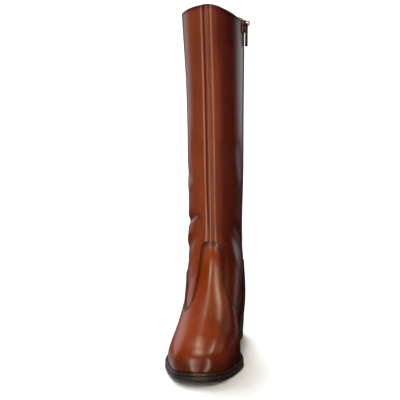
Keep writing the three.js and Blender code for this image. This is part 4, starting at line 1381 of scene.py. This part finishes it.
heel_profile = []
for k in range(LIFTS):
    insets = [heel_step(k, part)[0] for part in (0, 0.5, 1)]
    for inset, part in ((insets[0] + GROOVE, 0.0), (insets[0], 0.07), (insets[1], 0.5),
                        (insets[2], 0.93)):
        heel_profile.append((inset, heel_step(k, part)[1]))
heel_profile.append((insets[2] + GROOVE, heel_step(LIFTS - 1, 1.0)[1]))
heel = sole_layer("heel_block", HEEL_BREAST, SOLE_LENGTH, heel_profile, 90)
top_piece = sole_layer("heel_top_piece", HEEL_BREAST, SOLE_LENGTH, [
    (inset, lambda y, height=height: height + 0 * y) for inset, height in (
        (3.1, 0.0), (2.4, 0.3), (1.95, 1.0), (1.75, 1.8), (1.6, TOP_PIECE_THICKNESS - 0.5),
        (1.9, TOP_PIECE_THICKNESS))
], 90)
for piece, node, material, slot in (
        (outsole, "outsole", SOLE, "sole_rubber"), (welt, "welt", WELT, "sole_rubber"),
        (heel, "heel", HEEL, "heel_block"), (top_piece, "top_piece", SOLE, "sole_rubber")):
    dress(piece, material)
    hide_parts(node)
    print(piece.name, len(piece.data.polygons), "faces")

# %% Welt stitches
stations = np.linspace(0, station_at(WELT_END - 8), 700)
welt_rows = []
for side in (1, -1):
    xy = outline_point(side, stations, np.full(len(stations), 2.3))
    points = np.column_stack([xy, welt_top(xy[:, 1]) + 0.06])
    welt_rows.append((points, np.tile([0.0, 0.0, 1.0], (len(points), 1))))
welt_stitches = repeat_along("welt_stitches", welt_rows, STITCHES, THREAD,
                             Pitch=3.2, Length=2.7, Width=0.8, Height=0.6)
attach(welt_stitches, "boot")
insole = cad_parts["insole"]
insole.data.materials.clear()
insole.data.materials.append(SOCK)

# %% [markdown]
# ## The zip
#
# Two woven tapes carry a row of moulded teeth, and the slider with its pull rides at the top.
# The tapes are patches of the skin set a little below the leather. The teeth repeat, so the node
# tree lays them, one row from each side and half a pitch apart, so that they lock in the middle.

# %% Tapes and teeth
TAPE_FACE = -1.0
TAPE_THICKNESS = 0.5
TOOTH = dict(Pitch=2.0, Length=1.15, Width=3.0, Height=1.35)
TOOTH_MIDDLE = 1.15
TOOTH_DEPTH = -1.15
tape_top = float(collar_row(ZIP_SHARE)) - LINING_BELOW
tape_rows = np.linspace(ZIP_FOOT_ROW + FOOT_ROW_SPARE, tape_top, 330)
tape_sides = np.array([-8.6, -5.0, -3.0, -1.2, -0.35])
tapes, tooth_rows = [], []
for sign in (-1, 1):
    t, sides = np.meshgrid(tape_rows, np.sort(sign * tape_sides), indexing="ij")
    tapes.append(patch("tape", t, zip_share(t, sides), TAPE_FACE, TAPE_FACE - TAPE_THICKNESS))
    begin = ZIP_FOOT + 3 + (TOOTH["Pitch"] / 2 if sign > 0 else 0.0)
    t = row_at_height(np.linspace(begin, ZIP_TOP - 3.6, 500))
    tooth_rows.append(stitch_path(*even_path(t, zip_share(t, sign * TOOTH_MIDDLE)), TOOTH_DEPTH))
zip_tape = joined("zip_tapes", tapes)
dress(zip_tape, TAPE)
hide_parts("zip_tape")
zip_teeth = repeat_along("zip_teeth", tooth_rows, TEETH, GUNMETAL, **TOOTH)
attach(zip_teeth, "boot")
print("tapes", len(zip_tape.data.polygons), "faces")

# %% Slider and pull
EDGE_ROUND = 0.00022
FLAT_ANGLE, EDGE_ANGLE = math.radians(2), math.radians(25)


def rounded_copy(name, node, thicker):
    """A copy of a solid part, thicker outward by a factor, with its edges rounded."""
    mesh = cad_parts[node].data.copy()
    mesh.name = name
    work = bmesh.new()
    work.from_mesh(mesh)
    merge_doubles(work)
    inner = min(v.co.x for v in work.verts)
    for v in work.verts:
        v.co.x = inner + (v.co.x - inner) * thicker
    bmesh.ops.dissolve_limit(work, angle_limit=FLAT_ANGLE, verts=work.verts, edges=work.edges)
    sharp = [e for e in work.edges if len(e.link_faces) == 2
             and e.calc_face_angle(0) > EDGE_ANGLE]
    bmesh.ops.bevel(work, geom=sharp, offset=EDGE_ROUND, segments=2, profile=0.6,
                    affect="EDGES", clamp_overlap=True)
    bmesh.ops.recalc_face_normals(work, faces=work.faces)
    return shaded_piece(name, work, mesh)


slider = rounded_copy("slider", "zip_slider", 1.25)
pull = rounded_copy("pull", "zip_pull", 2.0)
dress(slider, GUNMETAL)
dress(pull, GUNMETAL, "pull")
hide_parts("zip_slider")
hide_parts("zip_pull")
print("slider and pull:", [len(p.data.polygons) for p in (slider, pull)])

# %% The leather guard in front of the slider
GUARD_MIDDLE = -12.4
GUARD_HALF = 4.3
GUARD_HEIGHT, GUARD_DOME = 0.8, 3.0
guard_rows = row_at_height(np.linspace(383.5, 399.5, 26))
leaf = np.sin(np.pi * np.linspace(0, 1, 26)) ** 0.75
over = np.linspace(-1, 1, 9)
guard_sides = over[None, :] * (GUARD_HALF * leaf + 0.15)[:, None] + GUARD_MIDDLE
t = np.broadcast_to(guard_rows[:, None], guard_sides.shape)
dome = np.sqrt(np.clip(1 - over ** 2, 0, 1))[None, :] * leaf[:, None]
guard = patch("zip_guard", t, zip_share(t, guard_sides), GUARD_HEIGHT + GUARD_DOME * dome, 0.05)
finish_leather(guard)
dress(guard, CALF)
print("guard:", len(guard.data.polygons), "faces")

# %% [markdown]
# ## Room, light and camera
#
# Glazed leather shows its lights as long soft streaks. Real soft boxes could be placed as area
# lights, but their reflections would sit partly under the floor, where a leaning shaft mirrors.
# So the studio is painted in the world by direction: two tall narrow warm strips in front give
# the pair of streaks down the middle, two lines overhead carry them over the vamp, wide cool
# panels at the back give the pale edge sheen, and the front stays dark between them. Soft suns
# light the leather's matt colour from in front and draw the soft shadow from behind, on a pale
# floor that lets most reflected rays through, so that the boot mirrors mainly the studio.

# %% Floor
FLOOR_SHADE = (0.72, 0.79, 0.87)
FLOOR_SIZE = 30.0
FLOOR_HEIGHT = -0.0004


def mixed_shader(tree, ray, first, second):
    """The second shader for rays of a kind, and the first for all others."""
    is_ray = add_node(tree, "ShaderNodeLightPath").outputs[ray]
    return add_node(tree, "ShaderNodeMixShader",
                    {0: is_ray, 1: first.outputs[0], 2: second.outputs[0]}).outputs["Shader"]


def stage_floor(size, height):
    mesh = bpy.data.meshes.new("floor")
    half = size / 2
    mesh.from_pydata([(-half, -half, 0), (half, -half, 0), (half, half, 0), (-half, half, 0)],
                     [], [(0, 1, 2, 3)])
    mesh.transform(Matrix.Translation((0, 0, height)))
    material, tree, shader, place = new_material("pale floor", 0.8, specular_ior_level=0.0)
    fine = noise(tree, place, 6.0, 2.0)
    tree.links.new(mixed(tree, fine, FLOOR_SHADE, tuple(c * 0.985 for c in FLOOR_SHADE)),
                   shader.inputs["Base Color"])
    split = add_node(tree, "ShaderNodeSeparateXYZ", {"Vector": place})
    x, y = split.outputs["X"], split.outputs["Y"]
    reach = maths(tree, "SQRT", maths(tree, "ADD", maths(tree, "MULTIPLY", x, x),
                                      maths(tree, "MULTIPLY", y, y)))
    shown = maths(tree, "MAXIMUM", spread(tree, reach, 0.5, 2.0, 0.03, 1.0),
                  spread(tree, y, 0.15, -0.15))
    clear = add_node(tree, "ShaderNodeBsdfTransparent", {"Color": shown})
    tree.links.new(mixed_shader(tree, "Is Glossy Ray", shader, clear),
                   tree.nodes["Material Output"].inputs["Surface"])
    mesh.materials.append(material)
    linked("floor", mesh)


stage_floor(FLOOR_SIZE, FLOOR_HEIGHT)
bpy.context.scene.view_settings.view_transform = "Standard"
print("floor of", FLOOR_SIZE, "m")

# %% The studio, painted by direction
# Azimuths are in degrees, 0 in front and positive to the medial side. Each light has its middle
# azimuth, half width and soft edge, its lowest and highest elevation and soft edge, strength and
# colour.
WARM, COOL = (1.0, 0.80, 0.56), (0.90, 0.93, 1.0)
STUDIO = [
    ("strip lateral", -15.0, 3.6, 5.0, -60, 28, 10, 8.0, WARM),
    ("strip medial", 29.0, 3.0, 5.0, -60, 28, 10, 10.0, WARM),
    ("side lateral", -100.0, 36.0, 24.0, -60, 8, 14, 0.13, WARM),
    ("rear lateral", -150.0, 18.0, 16.0, -60, 20, 14, 0.65, COOL),
    ("rear medial", 160.0, 20.0, 16.0, -9, -1, 5, 0.90, COOL),
    ("low front", -42.0, 26.0, 14.0, 18, 40, 10, 0.40, WARM),
    ("high rear lateral", -136.0, 14.0, 20.0, 50, 74, 20, 0.55, COOL),
    ("high medial", 122.0, 20.0, 24.0, 22, 40, 12, 0.50, WARM),
]
# Lights overhead that run from front to back: sideways slope of the middle, half width, strength.
# They begin at an elevation and grow fainter towards the top.
OVERHEAD = [("over lateral", -0.09, 0.08, 10.5), ("over medial", 0.49, 0.08, 7.5)]
OVERHEAD_BEGIN = (52.0, 58.0)
OVERHEAD_FADE = (72, 82, 1.0, 0.35)


def paint_studio():
    world = bpy.data.worlds.new("studio")
    bpy.context.scene.world = world
    world.use_nodes = True
    tree = world.node_tree
    tree.nodes.clear()
    place = add_node(tree, "ShaderNodeTexCoord").outputs["Generated"]
    x, y, z = add_node(tree, "ShaderNodeSeparateXYZ", {"Vector": place}).outputs
    azimuth = maths(tree, "ARCTAN2", x, maths(tree, "MULTIPLY", y, -1.0))
    azimuth = maths(tree, "MULTIPLY", azimuth, 180 / math.pi)
    elevation = maths(tree, "MULTIPLY", maths(tree, "ARCSINE", z), 180 / math.pi)
    totals = {WARM: 0.0, COOL: 0.0}
    for _, middle, half, soft, low, high, soft_up, strength, colour in STUDIO:
        away = maths(tree, "WRAP", maths(tree, "SUBTRACT", azimuth, middle), 180.0, -180.0)
        away = maths(tree, "ABSOLUTE", away)
        lit = spread(tree, away, half - soft / 2, half + soft / 2, strength, 0.0)
        above_low = spread(tree, elevation, low - soft_up / 2, low + soft_up / 2)
        below_high = spread(tree, elevation, high - soft_up / 2, high + soft_up / 2, 1.0, 0.0)
        lit = maths(tree, "MULTIPLY", maths(tree, "MULTIPLY", lit, above_low), below_high)
        totals[colour] = maths(tree, "ADD", lit, totals[colour])
    slope = maths(tree, "DIVIDE", x, maths(tree, "MAXIMUM", z, 0.01))
    overhead = maths(tree, "MULTIPLY", spread(tree, elevation, *OVERHEAD_BEGIN),
                     spread(tree, elevation, *OVERHEAD_FADE))
    for _, middle, half, strength in OVERHEAD:
        away = maths(tree, "ABSOLUTE", maths(tree, "SUBTRACT", slope, middle))
        lit = spread(tree, away, half * 0.4, half * 1.6, strength, 0.0)
        totals[WARM] = maths(tree, "ADD", totals[WARM], maths(tree, "MULTIPLY", lit, overhead))
    lights = [add_node(tree, "ShaderNodeBackground", {"Color": (*colour, 1), "Strength": total})
              for colour, total in totals.items()]
    paint = add_node(tree, "ShaderNodeAddShader", {
        k: light.outputs["Background"] for k, light in enumerate(lights)})
    white = add_node(tree, "ShaderNodeBackground", {"Color": (1, 1, 1, 1)})
    add_node(tree, "ShaderNodeOutputWorld",
             {"Surface": mixed_shader(tree, "Is Camera Ray", paint, white)})


# Suns for the matt part of the light. They don't show in reflections: name, where from (azimuth,
# elevation), strength and softness in degrees.
SUNS = [
    ("key", -38.0, 34.0, 0.90, 60.0),
    ("front", -10.0, 8.0, 0.16, 50.0),
    ("rear", -168.0, 57.5, 3.00, 20.0),
    ("rear lateral", -136.0, 36.0, 1.50, 44.0),
]


def add_sun(name, azimuth, elevation, strength, softness):
    data = bpy.data.lights.new(name, "SUN")
    data.energy = strength
    data.angle = math.radians(softness)
    a, e = math.radians(azimuth), math.radians(elevation)
    toward = Vector((math.sin(a) * math.cos(e), -math.cos(a) * math.cos(e), math.sin(e)))
    lamp = linked(name, data)
    lamp.rotation_euler = toward.to_track_quat("Z", "Y").to_euler()
    lamp.visible_glossy = False


paint_studio()
for row in SUNS:
    add_sun(*row)
print("studio:", len(STUDIO) + len(OVERHEAD), "soft lights and", len(SUNS), "suns")

# %% Camera
TOE_X, TOE_Y = 0.005, -0.134
CAMERA_REACH = 1.8
CAMERA_HEIGHT = 0.54
CAMERA_AZIMUTH = math.radians(6.5)
CAMERA_PITCH = math.radians(10.2)
camera_data = bpy.data.cameras.new("camera")
camera_data.sensor_width = 36.0
camera_data.lens = 148.1
camera = linked("camera", camera_data)
camera.location = (TOE_X + CAMERA_REACH * math.sin(CAMERA_AZIMUTH),
                   TOE_Y - CAMERA_REACH * math.cos(CAMERA_AZIMUTH), CAMERA_HEIGHT)
camera.rotation_euler = (math.pi / 2 - CAMERA_PITCH, 0, CAMERA_AZIMUTH)
bpy.context.scene.camera = camera
